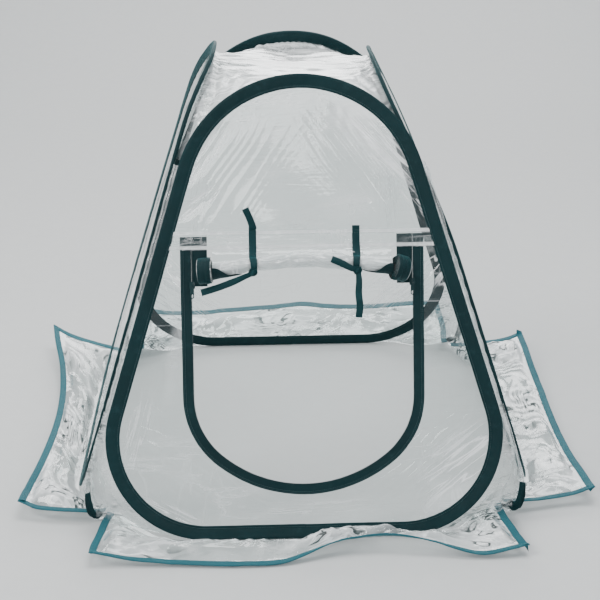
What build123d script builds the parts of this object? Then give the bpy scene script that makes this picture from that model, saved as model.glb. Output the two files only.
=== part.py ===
from build123d import *
import os
from math import atan, cos, degrees, radians, sin, sqrt

# A mini pop up greenhouse.  Four sprung wire hoops, each in a fabric sleeve and
# filled with clear film, lean together as a four-sided pyramid with a film roof.
# +Z is up, the door faces -Y, and the origin is on the ground under the centre.
# Every panel piece is drawn flat, with X across the panel, Y up its slope and Z
# outwards, and is then stood up on its side of the pyramid.

# Overall size, in millimetres
HEIGHT = 800.0
GROUND_REACH = 430.0
LEAN = 0.32
FOLD_SLACK = 9.5

# Hoops: a fabric sleeve round a closed loop of spring wire
SLEEVE_WIDTH = 26.0
SLEEVE_DEPTH = 8.0
SLEEVE_WALL = 1.2
FIN_WIDTH = 6.0
FIN_DEPTH = 2.2
SEAM_GAP = 1.2
CORNER_RADIUS = 183.0
WIRE_DIAMETER = 3.0
WIRE_INSET = 3.7
WIRE_END_GAP = 1.0
WIRE_END_CUT = 10.0
FERRULE_DIAMETER = 4.4
FERRULE_LENGTH = 30.0
SEWN_BORE_CLEARANCE = 0.05
SEAM_BEAD_RADIUS = 2.2
SEAM_WEB = 1.0
SEAM_WEB_OUT = 0.5
SEAM_WEB_REACH = 0.8
SEAM_WEB_INSIDE_BEAD = 0.6
SLEEVE_RISE = 3.1
CORNER_BELOW_GROUND = 1.0

# Film
FILM = 0.5
FILM_IN_FIN = 4.4
SLOT_SPARE = 0.05
STANDOFF = 0.3
MID_LAYER = STANDOFF + SLEEVE_DEPTH / 2

# Skirt flaps
SKIRT_LENGTH = 140.0
SKIRT_HALF_WIDTH = 374.0
SKIRT_HINGE_OUT = 8.6
SKIRT_HINGE_UP = 1.0
SKIRT_HINGE_RADIUS = 0.8
HEM_WIDTH = 14.0
HEM_DEPTH = 1.8
HEM_EDGE = 1.0
HEM_START = 6.0
HEM_CUT = 1.0

# Front panel: sewn band, door opening and zip
BAND_LOW = 526.0
BAND_HIGH = 560.0
BAND_MIDDLE = (BAND_LOW + BAND_HIGH) / 2
LAYER_GAP = 0.05
DOOR_HALF_WIDTH = 209.0
DOOR_SIDE_FOOT = 260.0
DOOR_FOOT = 89.0
DOOR_CORNER_RADIUS = 151.0
ZIP_TAPE_WIDTH = 18.0
ZIP_TAPE = 0.8
ZIP_COIL_RADIUS = 1.1
ZIP_COIL_GAP = 0.2
CLOSED_ZIP_TOP = 524.0
CLOSED_TAPE_WIDTH = 26.0

# Zip sliders and their pulls
SLIDER_HEIGHT = 463.0
SLIDER_SPLIT = 2.0
SLIDER_WIDTH = 10.0
SLIDER_LENGTH = 13.0
SLIDER_PLATE = 1.4
SLIDER_CLEARANCE = 0.4
BRIDGE_WIDTH = 2.0
BRIDGE_LENGTH = 7.0
BRIDGE_HEIGHT = 3.4
BRIDGE_EYE_RADIUS = 1.2
BRIDGE_EYE_LENGTH = 4.0
POST_WIDTH = 2.4
POST_INSET = 0.6
POST_TOP = -3.2
PULL_PIN_RADIUS = 0.7
PULL_WIDTH = 7.0
PULL_LENGTH = 24.0
PULL_THICKNESS = 1.2
PULL_ARM_WIDTH = 1.4
PULL_NECK = 6.0
PULL_NECK_OVERLAP = 0.8
PULL_SLOT_WIDTH = 3.4
PULL_SLOT_LENGTH = 6.0
PULL_SLOT_CORNER = 1.5

# Rolled door and the straps that hold it up
ROLL_RADIUS = 17.0
ROLL_BORE = 14.5
ROLL_HALF_LENGTH = 159.5
ROLL_DROP = 21.0
ROLL_OUT = 21.0
DOOR_HINGE_RADIUS = 1.0
DOOR_HINGE_OUT = 2.2
ZIP_END_RADIUS = 25.0
ZIP_END_BORE = 6.0
ZIP_END_WIDTH = 28.0
ZIP_END_DROP = 33.0
ZIP_END_OUT = 29.0
TIE_OFFSET = 93.0
TIE_WIDTH = 14.0
TIE_THICKNESS = 1.0
TIE_CLEARANCE = 2.0
TIE_BELOW_BAND_TOP = 2.0
TIE_FRONT_LEAVES = 12.0
TIE_BACK_LEAVES = 8.0
TIE_FRONT_ANGLES = range(75, -46, -15)
TIE_BACK_ANGLES = range(195, 286, 15)
KNOT_ANGLE = -58.0
KNOT_REACH = 8.5
KNOT_LENGTH = 12.0
KNOT_DEPTH = 9.0

# Roof film and the film that fills the corners below the hoops
ROOF_EDGE_INSET = 22.5
ROOF_EDGE_OUT = 1.5
CORNER_EDGE_GAP = 1.2
ROOF_START = 4.0
CORNER_FILM_END = -84.0
ARC_STEPS = 10

SIDE_ANGLES = {"front": 0, "right": 90, "back": 180, "left": 270}
# Each corner: the side before it, the side after it, going round from above
CORNERS = {
    "front_right": ("front", "right"),
    "back_right": ("right", "back"),
    "back_left": ("back", "left"),
    "front_left": ("left", "front"),
}
# Each corner's seam: the side that carries it, and on which hand of that side
SEAM_OWNERS = {
    "front_right": ("front", "right"),
    "front_left": ("front", "left"),
    "back_right": ("right", "right"),
    "back_left": ("left", "left"),
}

# Values that follow from the sizes above
SLANT = sqrt(1 + LEAN**2)
LEG_RUN = LEAN / SLANT
LEG_TILT = atan(LEG_RUN)
LEG_STRETCH = sqrt(1 + LEG_RUN**2)
HOOP_TOP = (HEIGHT - SLEEVE_RISE) * SLANT
LEG_FOOT = GROUND_REACH - (SEAM_GAP + FOLD_SLACK / 2) * LEG_STRETCH
ARCH_RADIUS = (LEG_FOOT - LEG_RUN * HOOP_TOP) / (LEG_STRETCH - LEG_RUN)
ARCH_CENTRE = HOOP_TOP - ARCH_RADIUS
CORNER_UP = CORNER_RADIUS - CORNER_BELOW_GROUND
CORNER_OUT = LEG_FOOT - LEG_RUN * CORNER_UP - CORNER_RADIUS * LEG_STRETCH
SKIRT_HINGE_Y = -(GROUND_REACH + SKIRT_HINGE_OUT)
BAND_LAYER = MID_LAYER + FILM / 2 + LAYER_GAP
ZIP_LAYER = BAND_LAYER
COIL_LAYER = ZIP_LAYER + ZIP_TAPE / 2
FIXED_COIL = -ZIP_TAPE_WIDTH / 2 - ZIP_COIL_GAP - ZIP_COIL_RADIUS
DOOR_COIL = FIXED_COIL - ZIP_COIL_GAP - 2 * ZIP_COIL_RADIUS
CLOSED_TAPE_EDGE = DOOR_COIL - ZIP_COIL_GAP - ZIP_COIL_RADIUS
SLIDER_ACROSS = DOOR_HALF_WIDTH + (FIXED_COIL + DOOR_COIL) / 2
SLIDER_FRONT = COIL_LAYER + ZIP_COIL_RADIUS + SLIDER_CLEARANCE
SLIDER_BACK = COIL_LAYER - ZIP_COIL_RADIUS - SLIDER_CLEARANCE
BRIDGE_EYE = SLIDER_FRONT + SLIDER_PLATE + BRIDGE_HEIGHT / 2
DOOR_HINGE_UP = BAND_LOW - DOOR_HINGE_RADIUS - STANDOFF
DOOR_HINGE_LAYER = BAND_LAYER + DOOR_HINGE_OUT
ROLL_UP = DOOR_HINGE_UP - ROLL_DROP
ROLL_LAYER = DOOR_HINGE_LAYER + ROLL_OUT
ZIP_END_UP = DOOR_HINGE_UP - ZIP_END_DROP
ZIP_END_LAYER = DOOR_HINGE_LAYER + ZIP_END_OUT
PANEL = Plane(origin=(0, -GROUND_REACH, 0), x_dir=(1, 0, 0), z_dir=(0, -1, LEAN))

# The right and back hoops stand against their hinged corners, which leaves all
# of their slack at the back right corner.
HOOP_SHIFT = {"front": 0, "right": -FOLD_SLACK / 2, "back": FOLD_SLACK / 2, "left": 0}


def save(piece, name):
    piece.label = name
    export_step(piece, os.path.join("parts", name + ".step"))


def turned(piece, side):
    """Turn a piece made for the front round to another side."""
    return Rot(0, 0, SIDE_ANGLES[side]) * piece


def on_side(piece, side):
    """Stand a piece drawn flat on one side of the pyramid."""
    return turned(PANEL.location * piece, side)


def point_on_side(side, across, up, out):
    """The place in space of a point given across, up and out from one panel."""
    return on_side(Location((across, up, out)), side).position


# ---------------------------------------------------------------- hoop outline


def hoop_path(inset):
    """Closed hoop outline, starting at the middle of its foot."""
    low = CORNER_RADIUS - inset
    top = ARCH_RADIUS - inset
    tilt = degrees(LEG_TILT)
    foot = CORNER_UP - low
    right_corner = CenterArc((CORNER_OUT, CORNER_UP), low, -90, 90 + tilt)
    arch = CenterArc((0, ARCH_CENTRE), top, tilt, 180 - 2 * tilt)
    left_corner = CenterArc((-CORNER_OUT, CORNER_UP), low, 180 - tilt, 90 + tilt)
    return Wire(
        [
            Line((0, foot), (CORNER_OUT, foot)),
            right_corner,
            Line(right_corner @ 1, arch @ 0),
            arch,
            Line(arch @ 1, left_corner @ 0),
            left_corner,
            Line((-CORNER_OUT, foot), (0, foot)),
        ]
    )


def foot_plane(inset):
    """Plane across the hoop at the middle of its foot, X pointing outwards."""
    foot = CORNER_UP - CORNER_RADIUS + inset
    return Plane(origin=(0, foot, MID_LAYER), x_dir=(0, -1, 0), z_dir=(1, 0, 0))


def layer(outline, low, thickness):
    """A flat plate of one outline between two distances out from the panel."""
    return Pos(0, 0, low) * extrude(outline, thickness)


def box_between(low, high):
    """A box from its two opposite corners."""
    size = [b - a for a, b in zip(low, high)]
    centre = [(a + b) / 2 for a, b in zip(low, high)]
    return Pos(*centre) * Box(*size)


def hoop_sleeve():
    """Fabric sleeve: a flattened tube for the wire, with a sewn fin for the film."""
    tube_width = SLEEVE_WIDTH - FIN_WIDTH
    tube = SlotOverall(tube_width, SLEEVE_DEPTH)
    cavity = SlotOverall(tube_width - 2 * SLEEVE_WALL, SLEEVE_DEPTH - 2 * SLEEVE_WALL)
    fin_reach = FIN_WIDTH + SLEEVE_WALL / 2
    fin_middle = -tube_width / 2 - FIN_WIDTH + fin_reach / 2
    fin = Pos(fin_middle, 0) * Rectangle(fin_reach, FIN_DEPTH)
    slot_length = FILM_IN_FIN + 2 * SLOT_SPARE
    slot_middle = -tube_width / 2 - FIN_WIDTH + slot_length / 2
    slot = Pos(slot_middle, 0) * Rectangle(slot_length, FILM + 2 * SLOT_SPARE)
    section = Pos(-tube_width / 2, 0) * (tube + fin - cavity - slot)
    return sweep(foot_plane(0) * section, path=Pos(0, 0, MID_LAYER) * hoop_path(0))


def hoop_wire():
    """Spring wire loop, its two ends meeting inside the ferrule."""
    path = Pos(0, 0, MID_LAYER) * hoop_path(WIRE_INSET)
    loop = sweep(foot_plane(WIRE_INSET) * Circle(WIRE_DIAMETER / 2), path=path)
    foot = CORNER_UP - CORNER_RADIUS + WIRE_INSET
    return loop - Pos(0, foot, MID_LAYER) * Box(WIRE_END_GAP, WIRE_END_CUT, WIRE_END_CUT)


def hoop_ferrule():
    """Crimped tube that joins the two wire ends."""
    bore = WIRE_DIAMETER / 2 + SEWN_BORE_CLEARANCE
    ring = Circle(FERRULE_DIAMETER / 2) - Circle(bore)
    return extrude(foot_plane(WIRE_INSET) * ring, FERRULE_LENGTH / 2, both=True)


def film_outline():
    """Film as far as the bottom of the slot in the sleeve's fin."""
    return make_face(hoop_path(SLEEVE_WIDTH - FILM_IN_FIN))


def panel_film():
    return layer(film_outline(), MID_LAYER - FILM / 2, FILM)


# ------------------------------------------------------------- door and zip


def door_path(offset, top):
    """U-shaped door outline, closed across at a given height."""
    half = DOOR_HALF_WIDTH + offset
    corner = DOOR_CORNER_RADIUS + offset
    corner_out = DOOR_HALF_WIDTH - DOOR_CORNER_RADIUS
    drop = DOOR_SIDE_FOOT - DOOR_FOOT
    # The bottom arc is centred above the opening and touches both corner arcs.
    span = corner_out**2 + drop**2 - DOOR_CORNER_RADIUS**2
    bottom = span / (2 * (drop - DOOR_CORNER_RADIUS))
    centre_up = DOOR_FOOT + bottom
    meet = degrees(atan((centre_up - DOOR_SIDE_FOOT) / corner_out))
    right = CenterArc((corner_out, DOOR_SIDE_FOOT), corner, -meet, meet)
    base = CenterArc((0, centre_up), bottom + offset, meet - 180, 180 - 2 * meet)
    left = CenterArc((-corner_out, DOOR_SIDE_FOOT), corner, 180, meet)
    return Wire(
        [
            Line((half, top), right @ 1),
            right,
            base,
            left,
            Line(left @ 0, (-half, top)),
            Line((-half, top), (half, top)),
        ]
    )


def door_strip(inner, outer, top):
    """U-shaped strip between two offsets of the door outline, open at the top."""
    cut = make_face(door_path(inner, top + 1))
    return make_face(door_path(outer, top)) - cut


def rows_above(low):
    return Pos(0, low + HEIGHT / 2) * Rectangle(2 * GROUND_REACH, HEIGHT)


def rows_below(high):
    return Pos(0, high - HEIGHT / 2) * Rectangle(2 * GROUND_REACH, HEIGHT)


def front_upper_film():
    outline = film_outline() & rows_above(BAND_MIDDLE + LAYER_GAP)
    return layer(outline, MID_LAYER - FILM / 2, FILM)


def front_lower_film():
    outline = film_outline() & rows_below(BAND_MIDDLE - LAYER_GAP)
    outline -= make_face(door_path(0, BAND_LOW))
    return layer(outline, MID_LAYER - FILM / 2, FILM)


def front_band():
    """Clear strip over the joint between the upper and lower films."""
    inside_sleeve = make_face(hoop_path(SLEEVE_WIDTH + STANDOFF))
    rows = Pos(0, BAND_MIDDLE) * Rectangle(2 * GROUND_REACH, BAND_HIGH - BAND_LOW)
    return layer(inside_sleeve & rows, BAND_LAYER, FILM)


def zip_tape_fixed():
    half = ZIP_TAPE_WIDTH / 2
    return layer(door_strip(-half, half, CLOSED_ZIP_TOP), ZIP_LAYER, ZIP_TAPE)


def zip_coil_fixed():
    """Coil of teeth along the inner edge of the fixed tape."""
    radius = ZIP_COIL_RADIUS
    strip = door_strip(FIXED_COIL - radius, FIXED_COIL + radius, CLOSED_ZIP_TOP)
    return layer(strip, COIL_LAYER - radius, 2 * radius)


def closed_zip_tape(hand):
    """Door-side tape where the zip is still closed above the slider."""
    edge = DOOR_HALF_WIDTH + CLOSED_TAPE_EDGE
    low = (edge - CLOSED_TAPE_WIDTH, SLIDER_HEIGHT - SLIDER_SPLIT, ZIP_LAYER)
    high = (edge, CLOSED_ZIP_TOP, ZIP_LAYER + ZIP_TAPE)
    return on_hand(box_between(low, high), hand)


def closed_zip_coil(hand):
    """Door-side teeth above the slider's post."""
    middle = DOOR_HALF_WIDTH + DOOR_COIL
    radius = ZIP_COIL_RADIUS
    low = (middle - radius, SLIDER_HEIGHT - SLIDER_SPLIT, COIL_LAYER - radius)
    high = (middle + radius, CLOSED_ZIP_TOP, COIL_LAYER + radius)
    return on_hand(box_between(low, high), hand)


def on_hand(piece, hand):
    """Pieces are drawn for the right; the left ones are their mirror image."""
    return piece if hand == "right" else mirror(piece, Plane.YZ)


def zip_slider(hand):
    """Two plates round the coil, a post between the rows and a bridge in front."""
    outline = RectangleRounded(SLIDER_WIDTH, SLIDER_LENGTH, SLIDER_WIDTH / 4)
    plate = extrude(outline, SLIDER_PLATE)
    front = Pos(0, 0, SLIDER_FRONT) * plate
    back = Pos(0, 0, SLIDER_BACK - SLIDER_PLATE) * plate
    post_out = -ZIP_COIL_GAP / 2 - SLIDER_CLEARANCE / 2
    post_foot = POST_INSET - SLIDER_LENGTH / 2
    post_low = (post_out - POST_WIDTH, post_foot, SLIDER_BACK - SLIDER_PLATE)
    post_high = (post_out, POST_TOP, SLIDER_FRONT + SLIDER_PLATE)
    post = box_between(post_low, post_high)
    bridge_low = (-BRIDGE_WIDTH / 2, -BRIDGE_LENGTH / 2, SLIDER_FRONT)
    bridge_high = (BRIDGE_WIDTH / 2, BRIDGE_LENGTH / 2, BRIDGE_EYE + BRIDGE_HEIGHT / 2)
    bridge = box_between(bridge_low, bridge_high)
    eye = Rot(0, 90, 0) * Cylinder(BRIDGE_EYE_RADIUS, BRIDGE_EYE_LENGTH)
    eye = Pos(0, 0, BRIDGE_EYE) * eye
    slider = front + back + post + bridge - eye
    return on_hand(Pos(SLIDER_ACROSS, SLIDER_HEIGHT, 0) * slider, hand)


def zip_pull(hand):
    """Hanging tab whose pin turns in the slider's bridge."""
    pin = Rot(0, 90, 0) * Cylinder(PULL_PIN_RADIUS, PULL_WIDTH)
    arm_out = (PULL_WIDTH - PULL_ARM_WIDTH) / 2
    arm = Pos(arm_out, -PULL_NECK / 2, 0) * Box(PULL_ARM_WIDTH, PULL_NECK, PULL_THICKNESS)
    tab_length = PULL_LENGTH - PULL_NECK
    tab = RectangleRounded(PULL_WIDTH, tab_length, PULL_WIDTH / 3)
    slot = RectangleRounded(PULL_SLOT_WIDTH, PULL_SLOT_LENGTH, PULL_SLOT_CORNER)
    tab -= Pos(0, -tab_length / 4) * slot
    tab_up = PULL_NECK_OVERLAP - PULL_NECK - tab_length / 2
    tab_place = Pos(0, tab_up, -PULL_THICKNESS / 2)
    plate = tab_place * extrude(tab, PULL_THICKNESS)
    pull = pin + arm + mirror(arm, Plane.YZ) + plate
    return on_hand(Pos(SLIDER_ACROSS, SLIDER_HEIGHT, BRIDGE_EYE) * pull, hand)


# ---------------------------------------------------------------- rolled door

def across(radius, bore, low, high, up, out):
    """A tube lying across the panel."""
    section = Circle(radius) - Circle(bore) if bore else Circle(radius)
    return Pos(low, up, out) * Plane.YZ.location * extrude(section, high - low)


def door_roll():
    """Rolled door film, hanging by its free stretch from the seam under the band."""
    low, high = -ROLL_HALF_LENGTH, ROLL_HALF_LENGTH
    roll = across(ROLL_RADIUS, ROLL_BORE, low, high, ROLL_UP, ROLL_LAYER)
    hinge = across(DOOR_HINGE_RADIUS, 0, low, high, DOOR_HINGE_UP, DOOR_HINGE_LAYER)
    # The free stretch runs from the seam to where it meets the top of the roll.
    wrap = ROLL_RADIUS - FILM
    top_out = ROLL_LAYER - ROLL_OUT / 2
    top_up = ROLL_UP + sqrt(wrap**2 - (ROLL_OUT / 2) ** 2)
    web = Polyline(
        (DOOR_HINGE_UP, DOOR_HINGE_LAYER),
        (DOOR_HINGE_UP, DOOR_HINGE_LAYER + FILM),
        (top_up, top_out + FILM),
        (top_up - 2 * FILM, top_out),
        close=True,
    )
    sheet = Pos(low, 0, 0) * Plane.YZ.location * extrude(make_face(web), high - low)
    return roll + hinge + sheet


def rolled_zip_end(hand):
    """The door's zip tape, coiled at the end of the roll."""
    low = ROLL_HALF_LENGTH + STANDOFF
    high = low + ZIP_END_WIDTH
    coil = across(ZIP_END_RADIUS, ZIP_END_BORE, low, high, ZIP_END_UP, ZIP_END_LAYER)
    return on_hand(coil, hand)


# ------------------------------------------------------- thin shaped surfaces


def sheet_solid(triangles, thickness):
    """Thin closed solid between a surface of triangles and a copy set behind it."""
    front = {}
    normals = {}
    keyed = []
    for triangle in triangles:
        a, b, c = [Vector(*corner) for corner in triangle]
        keys = [tuple(round(value, 3) for value in (p.X, p.Y, p.Z)) for p in (a, b, c)]
        keyed.append(keys)
        for key, corner in zip(keys, (a, b, c)):
            front[key] = corner
            normals[key] = normals.get(key, Vector(0, 0, 0)) + (b - a).cross(c - a)
    back = {key: front[key] - normals[key].normalized() * thickness for key in front}
    edges = {(keys[i - 1], keys[i]) for keys in keyed for i in range(3)}
    faces = []
    for a, b, c in keyed:
        faces.append((front[a], front[b], front[c]))
        faces.append((back[a], back[c], back[b]))
    for a, b in edges:
        if (b, a) not in edges:
            faces.append((front[b], front[a], back[a]))
            faces.append((front[b], back[a], back[b]))
    flats = [Face(Wire.make_polygon(corners, close=True)) for corners in faces]
    return Solid(Shell(flats))


def bridging(first, second):
    """Triangles of the surface between two rows of points."""
    triangles = []
    for i in range(len(first) - 1):
        a, b, c, d = first[i], first[i + 1], second[i], second[i + 1]
        triangles += [(a, c, d), (a, d, b)]
    return triangles


def around_roll(angle, reach):
    """Up and out of a point beside the roll; 0 degrees is outwards, 90 is up."""
    turn = radians(angle)
    return ROLL_UP + reach * sin(turn), ROLL_LAYER + reach * cos(turn)


def strap(route, hand):
    """Flat strap across the panel at a tie, along a route of (up, out) places."""
    middle = TIE_OFFSET if hand == "right" else -TIE_OFFSET
    low = [(middle - TIE_WIDTH / 2, up, out) for up, out in route]
    high = [(middle + TIE_WIDTH / 2, up, out) for up, out in route]
    return sheet_solid(bridging(low, high), TIE_THICKNESS)


def tie_front(hand):
    """Strap from the front of the band down over the front of the roll."""
    start = BAND_LAYER + FILM + STANDOFF
    route = [(BAND_HIGH - TIE_BELOW_BAND_TOP, start), (BAND_LOW + TIE_FRONT_LEAVES, start)]
    reach = ROLL_RADIUS + TIE_CLEARANCE
    route += [around_roll(angle, reach) for angle in TIE_FRONT_ANGLES]
    return strap(route, hand)


def tie_back(hand):
    """Strap from the back of the band down behind the roll and round under it."""
    start = MID_LAYER - FILM / 2 - STANDOFF - TIE_THICKNESS
    route = [(BAND_HIGH - TIE_BELOW_BAND_TOP, start), (BAND_LOW - TIE_BACK_LEAVES, start)]
    reach = ROLL_RADIUS + TIE_CLEARANCE
    route += [around_roll(angle, reach) for angle in TIE_BACK_ANGLES]
    return strap(route, hand)


def tie_knot(hand):
    """Knot that joins the two straps below the front of the roll."""
    up, out = around_roll(KNOT_ANGLE, ROLL_RADIUS + KNOT_REACH)
    block = Rot(KNOT_ANGLE + 90, 0, 0) * Box(TIE_WIDTH, KNOT_LENGTH, KNOT_DEPTH)
    middle = TIE_OFFSET if hand == "right" else -TIE_OFFSET
    return Pos(middle, up, out) * block


def arc_places(side, centre, radius, start, end, out):
    """Places in space along an arc on one panel, at a distance out from it."""
    places = []
    for step in range(ARC_STEPS + 1):
        turn = radians(start + (end - start) * step / ARC_STEPS)
        over = centre[0] + radius * cos(turn) + HOOP_SHIFT[side]
        places.append(point_on_side(side, over, centre[1] + radius * sin(turn), out))
    return places


def roof_film():
    """Film between the sleeves' inner edges at the four arches.

    It has a flat middle and a ruled fan at each corner."""
    radius = ARCH_RADIUS - ROOF_EDGE_INSET
    first = degrees(LEG_TILT) + ROOF_START
    centre = (0, ARCH_CENTRE)
    triangles = []
    apexes = []
    for before, after in CORNERS.values():
        near = arc_places(before, centre, radius, first, 90, ROOF_EDGE_OUT)
        far = arc_places(after, centre, radius, 180 - first, 90, ROOF_EDGE_OUT)
        triangles += bridging(near, far)
        apexes.append(near[-1])
    front, right, back, left = apexes
    triangles += [(front, right, back), (front, back, left)]
    return sheet_solid(triangles, FILM)


def ridge_place(side, up, hand):
    """Point where the film layers of two neighbouring panels meet at a corner."""
    over = GROUND_REACH - LEG_RUN * up + MID_LAYER / SLANT
    return point_on_side(side, over if hand == "right" else -over, up, MID_LAYER)


def lower_corner_film(corner):
    """Film that fills the corner outside the two rounded hoop corners."""
    before, after = CORNERS[corner]
    radius = CORNER_RADIUS + CORNER_EDGE_GAP
    start = degrees(LEG_TILT)
    right = (CORNER_OUT, CORNER_UP)
    left = (-CORNER_OUT, CORNER_UP)
    near = arc_places(before, right, radius, CORNER_FILM_END, start, MID_LAYER)
    far = arc_places(after, left, radius, 180 - CORNER_FILM_END, 180 - start, MID_LAYER)
    heights = []
    for step in range(ARC_STEPS + 1):
        turn = radians(CORNER_FILM_END + (start - CORNER_FILM_END) * step / ARC_STEPS)
        heights.append(CORNER_UP + radius * sin(turn))
    ridge = [ridge_place(before, up, "right") for up in heights]
    return sheet_solid(bridging(near, ridge) + bridging(ridge, far), FILM)


# ------------------------------------------------------------ seams and skirts


def corner_seam(corner):
    """Rolled seam on the corner line, with the web that joins it to its sleeve."""
    side, hand = SEAM_OWNERS[corner]
    low = CORNER_UP + CORNER_RADIUS * sin(LEG_TILT)
    high = ARCH_CENTRE + ARCH_RADIUS * sin(LEG_TILT)
    foot = (GROUND_REACH - LEG_RUN * low, low, 0)
    head = (GROUND_REACH - LEG_RUN * high, high, 0)
    line = Vector(*head) - Vector(*foot)
    start = Plane(origin=foot, z_dir=line)
    bead = extrude(start * Circle(SEAM_BEAD_RADIUS), line.length)
    inner = (SEAM_BEAD_RADIUS - SEAM_WEB_INSIDE_BEAD) * LEG_STRETCH
    outer = (SEAM_GAP + FOLD_SLACK / 2 + SEAM_WEB_REACH) * LEG_STRETCH
    if corner == "back_right":
        outer += FOLD_SLACK / 2 * LEG_STRETCH
    web = Polyline(
        (foot[0] - inner, low),
        (head[0] - inner, high),
        (head[0] - outer, high),
        (foot[0] - outer, low),
        close=True,
    )
    seam = bead + layer(make_face(web), SEAM_WEB_OUT, SEAM_WEB)
    return on_side(on_hand(seam, hand), side)


def skirt_outline(half_width, near, far):
    """Rectangle on the ground in front of the front panel."""
    middle = SKIRT_HINGE_Y - (near + far) / 2
    return Pos(0, middle) * Rectangle(2 * half_width, far - near)


def skirt_film(side):
    """Film flap with a rolled seam at its hinge line."""
    reach = SKIRT_LENGTH - HEM_EDGE
    outline = skirt_outline(SKIRT_HALF_WIDTH - HEM_EDGE, 0, reach)
    flap = Pos(0, 0, SKIRT_HINGE_UP - FILM / 2) * extrude(outline, FILM)
    seam = Rot(0, 90, 0) * Cylinder(SKIRT_HINGE_RADIUS, 2 * SKIRT_HALF_WIDTH - 2 * HEM_EDGE)
    return turned(flap + Pos(0, SKIRT_HINGE_Y, SKIRT_HINGE_UP) * seam, side)


def skirt_hem(side):
    """Folded tape round the three free edges of a flap."""
    outer = skirt_outline(SKIRT_HALF_WIDTH, HEM_START, SKIRT_LENGTH)
    inner_half = SKIRT_HALF_WIDTH - HEM_WIDTH
    inner = skirt_outline(inner_half, HEM_START - HEM_CUT, SKIRT_LENGTH - HEM_WIDTH)
    low = SKIRT_HINGE_UP - HEM_DEPTH / 2
    tape = Pos(0, 0, low) * extrude(outer - inner, HEM_DEPTH)
    reach = SKIRT_LENGTH - HEM_EDGE + SLOT_SPARE
    film = skirt_outline(SKIRT_HALF_WIDTH - HEM_EDGE + SLOT_SPARE, 0, reach)
    slot_low = SKIRT_HINGE_UP - FILM / 2 - SLOT_SPARE
    slot = Pos(0, 0, slot_low) * extrude(film, FILM + 2 * SLOT_SPARE)
    return turned(tape - slot, side)


# -------------------------------------------------------------------- assembly


def save_hoops():
    for side in SIDE_ANGLES:
        shift = Pos(HOOP_SHIFT[side], 0, 0)
        save(on_side(shift * hoop_sleeve(), side), side + "_hoop_sleeve")
        save(on_side(shift * hoop_wire(), side), side + "_hoop_wire")
        save(on_side(shift * hoop_ferrule(), side), side + "_hoop_ferrule")
        if side != "front":
            save(on_side(shift * panel_film(), side), side + "_panel_film")


def save_front():
    save(on_side(front_upper_film(), "front"), "front_upper_film")
    save(on_side(front_lower_film(), "front"), "front_lower_film")
    save(on_side(front_band(), "front"), "front_band")
    save(on_side(zip_tape_fixed(), "front"), "zip_tape_fixed")
    save(on_side(zip_coil_fixed(), "front"), "zip_coil_fixed")
    save(on_side(door_roll(), "front"), "door_roll_film")
    for hand in ("left", "right"):
        save(on_side(closed_zip_tape(hand), "front"), "zip_tape_closed_" + hand)
        save(on_side(closed_zip_coil(hand), "front"), "zip_coil_closed_" + hand)
        save(on_side(zip_slider(hand), "front"), "zip_slider_" + hand)
        save(on_side(zip_pull(hand), "front"), "zip_pull_" + hand)
        save(on_side(rolled_zip_end(hand), "front"), "rolled_zip_end_" + hand)
        save(on_side(tie_front(hand), "front"), "tie_strap_front_" + hand)
        save(on_side(tie_back(hand), "front"), "tie_strap_back_" + hand)
        save(on_side(tie_knot(hand), "front"), "tie_knot_" + hand)


def save_shell():
    save(roof_film(), "roof_film")
    for corner in CORNERS:
        save(corner_seam(corner), "corner_seam_" + corner)
        save(lower_corner_film(corner), "lower_corner_film_" + corner)
    for side in SIDE_ANGLES:
        save(skirt_film(side), side + "_skirt_film")
        save(skirt_hem(side), side + "_skirt_hem")


os.makedirs("parts", exist_ok=True)
save_hoops()
save_front()
save_shell()
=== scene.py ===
import bpy
import math
import numpy as np
from mathutils import Matrix, Vector


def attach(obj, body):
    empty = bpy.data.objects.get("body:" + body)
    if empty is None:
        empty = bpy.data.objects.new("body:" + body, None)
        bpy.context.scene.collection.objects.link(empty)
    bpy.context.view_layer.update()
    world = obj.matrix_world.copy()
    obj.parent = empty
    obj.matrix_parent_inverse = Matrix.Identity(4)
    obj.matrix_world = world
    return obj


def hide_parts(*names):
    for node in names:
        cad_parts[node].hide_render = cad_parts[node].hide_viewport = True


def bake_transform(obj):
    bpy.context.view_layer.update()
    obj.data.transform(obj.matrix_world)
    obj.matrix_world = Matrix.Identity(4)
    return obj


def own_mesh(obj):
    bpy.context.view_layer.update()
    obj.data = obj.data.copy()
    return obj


# Mini pop up greenhouse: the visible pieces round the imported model.
# Panel places are given as (u across, v up the slope, w outwards), in millimetres,
# on one side of the pyramid, and are turned into metres when a mesh is made.

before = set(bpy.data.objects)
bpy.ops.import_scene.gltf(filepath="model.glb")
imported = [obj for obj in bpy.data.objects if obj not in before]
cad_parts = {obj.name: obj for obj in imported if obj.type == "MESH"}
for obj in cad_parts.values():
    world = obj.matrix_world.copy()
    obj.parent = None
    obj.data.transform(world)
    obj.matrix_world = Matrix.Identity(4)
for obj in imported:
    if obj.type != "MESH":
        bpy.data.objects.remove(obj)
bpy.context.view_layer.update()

# ---------------------------------------------------------------- model sizes

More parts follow.
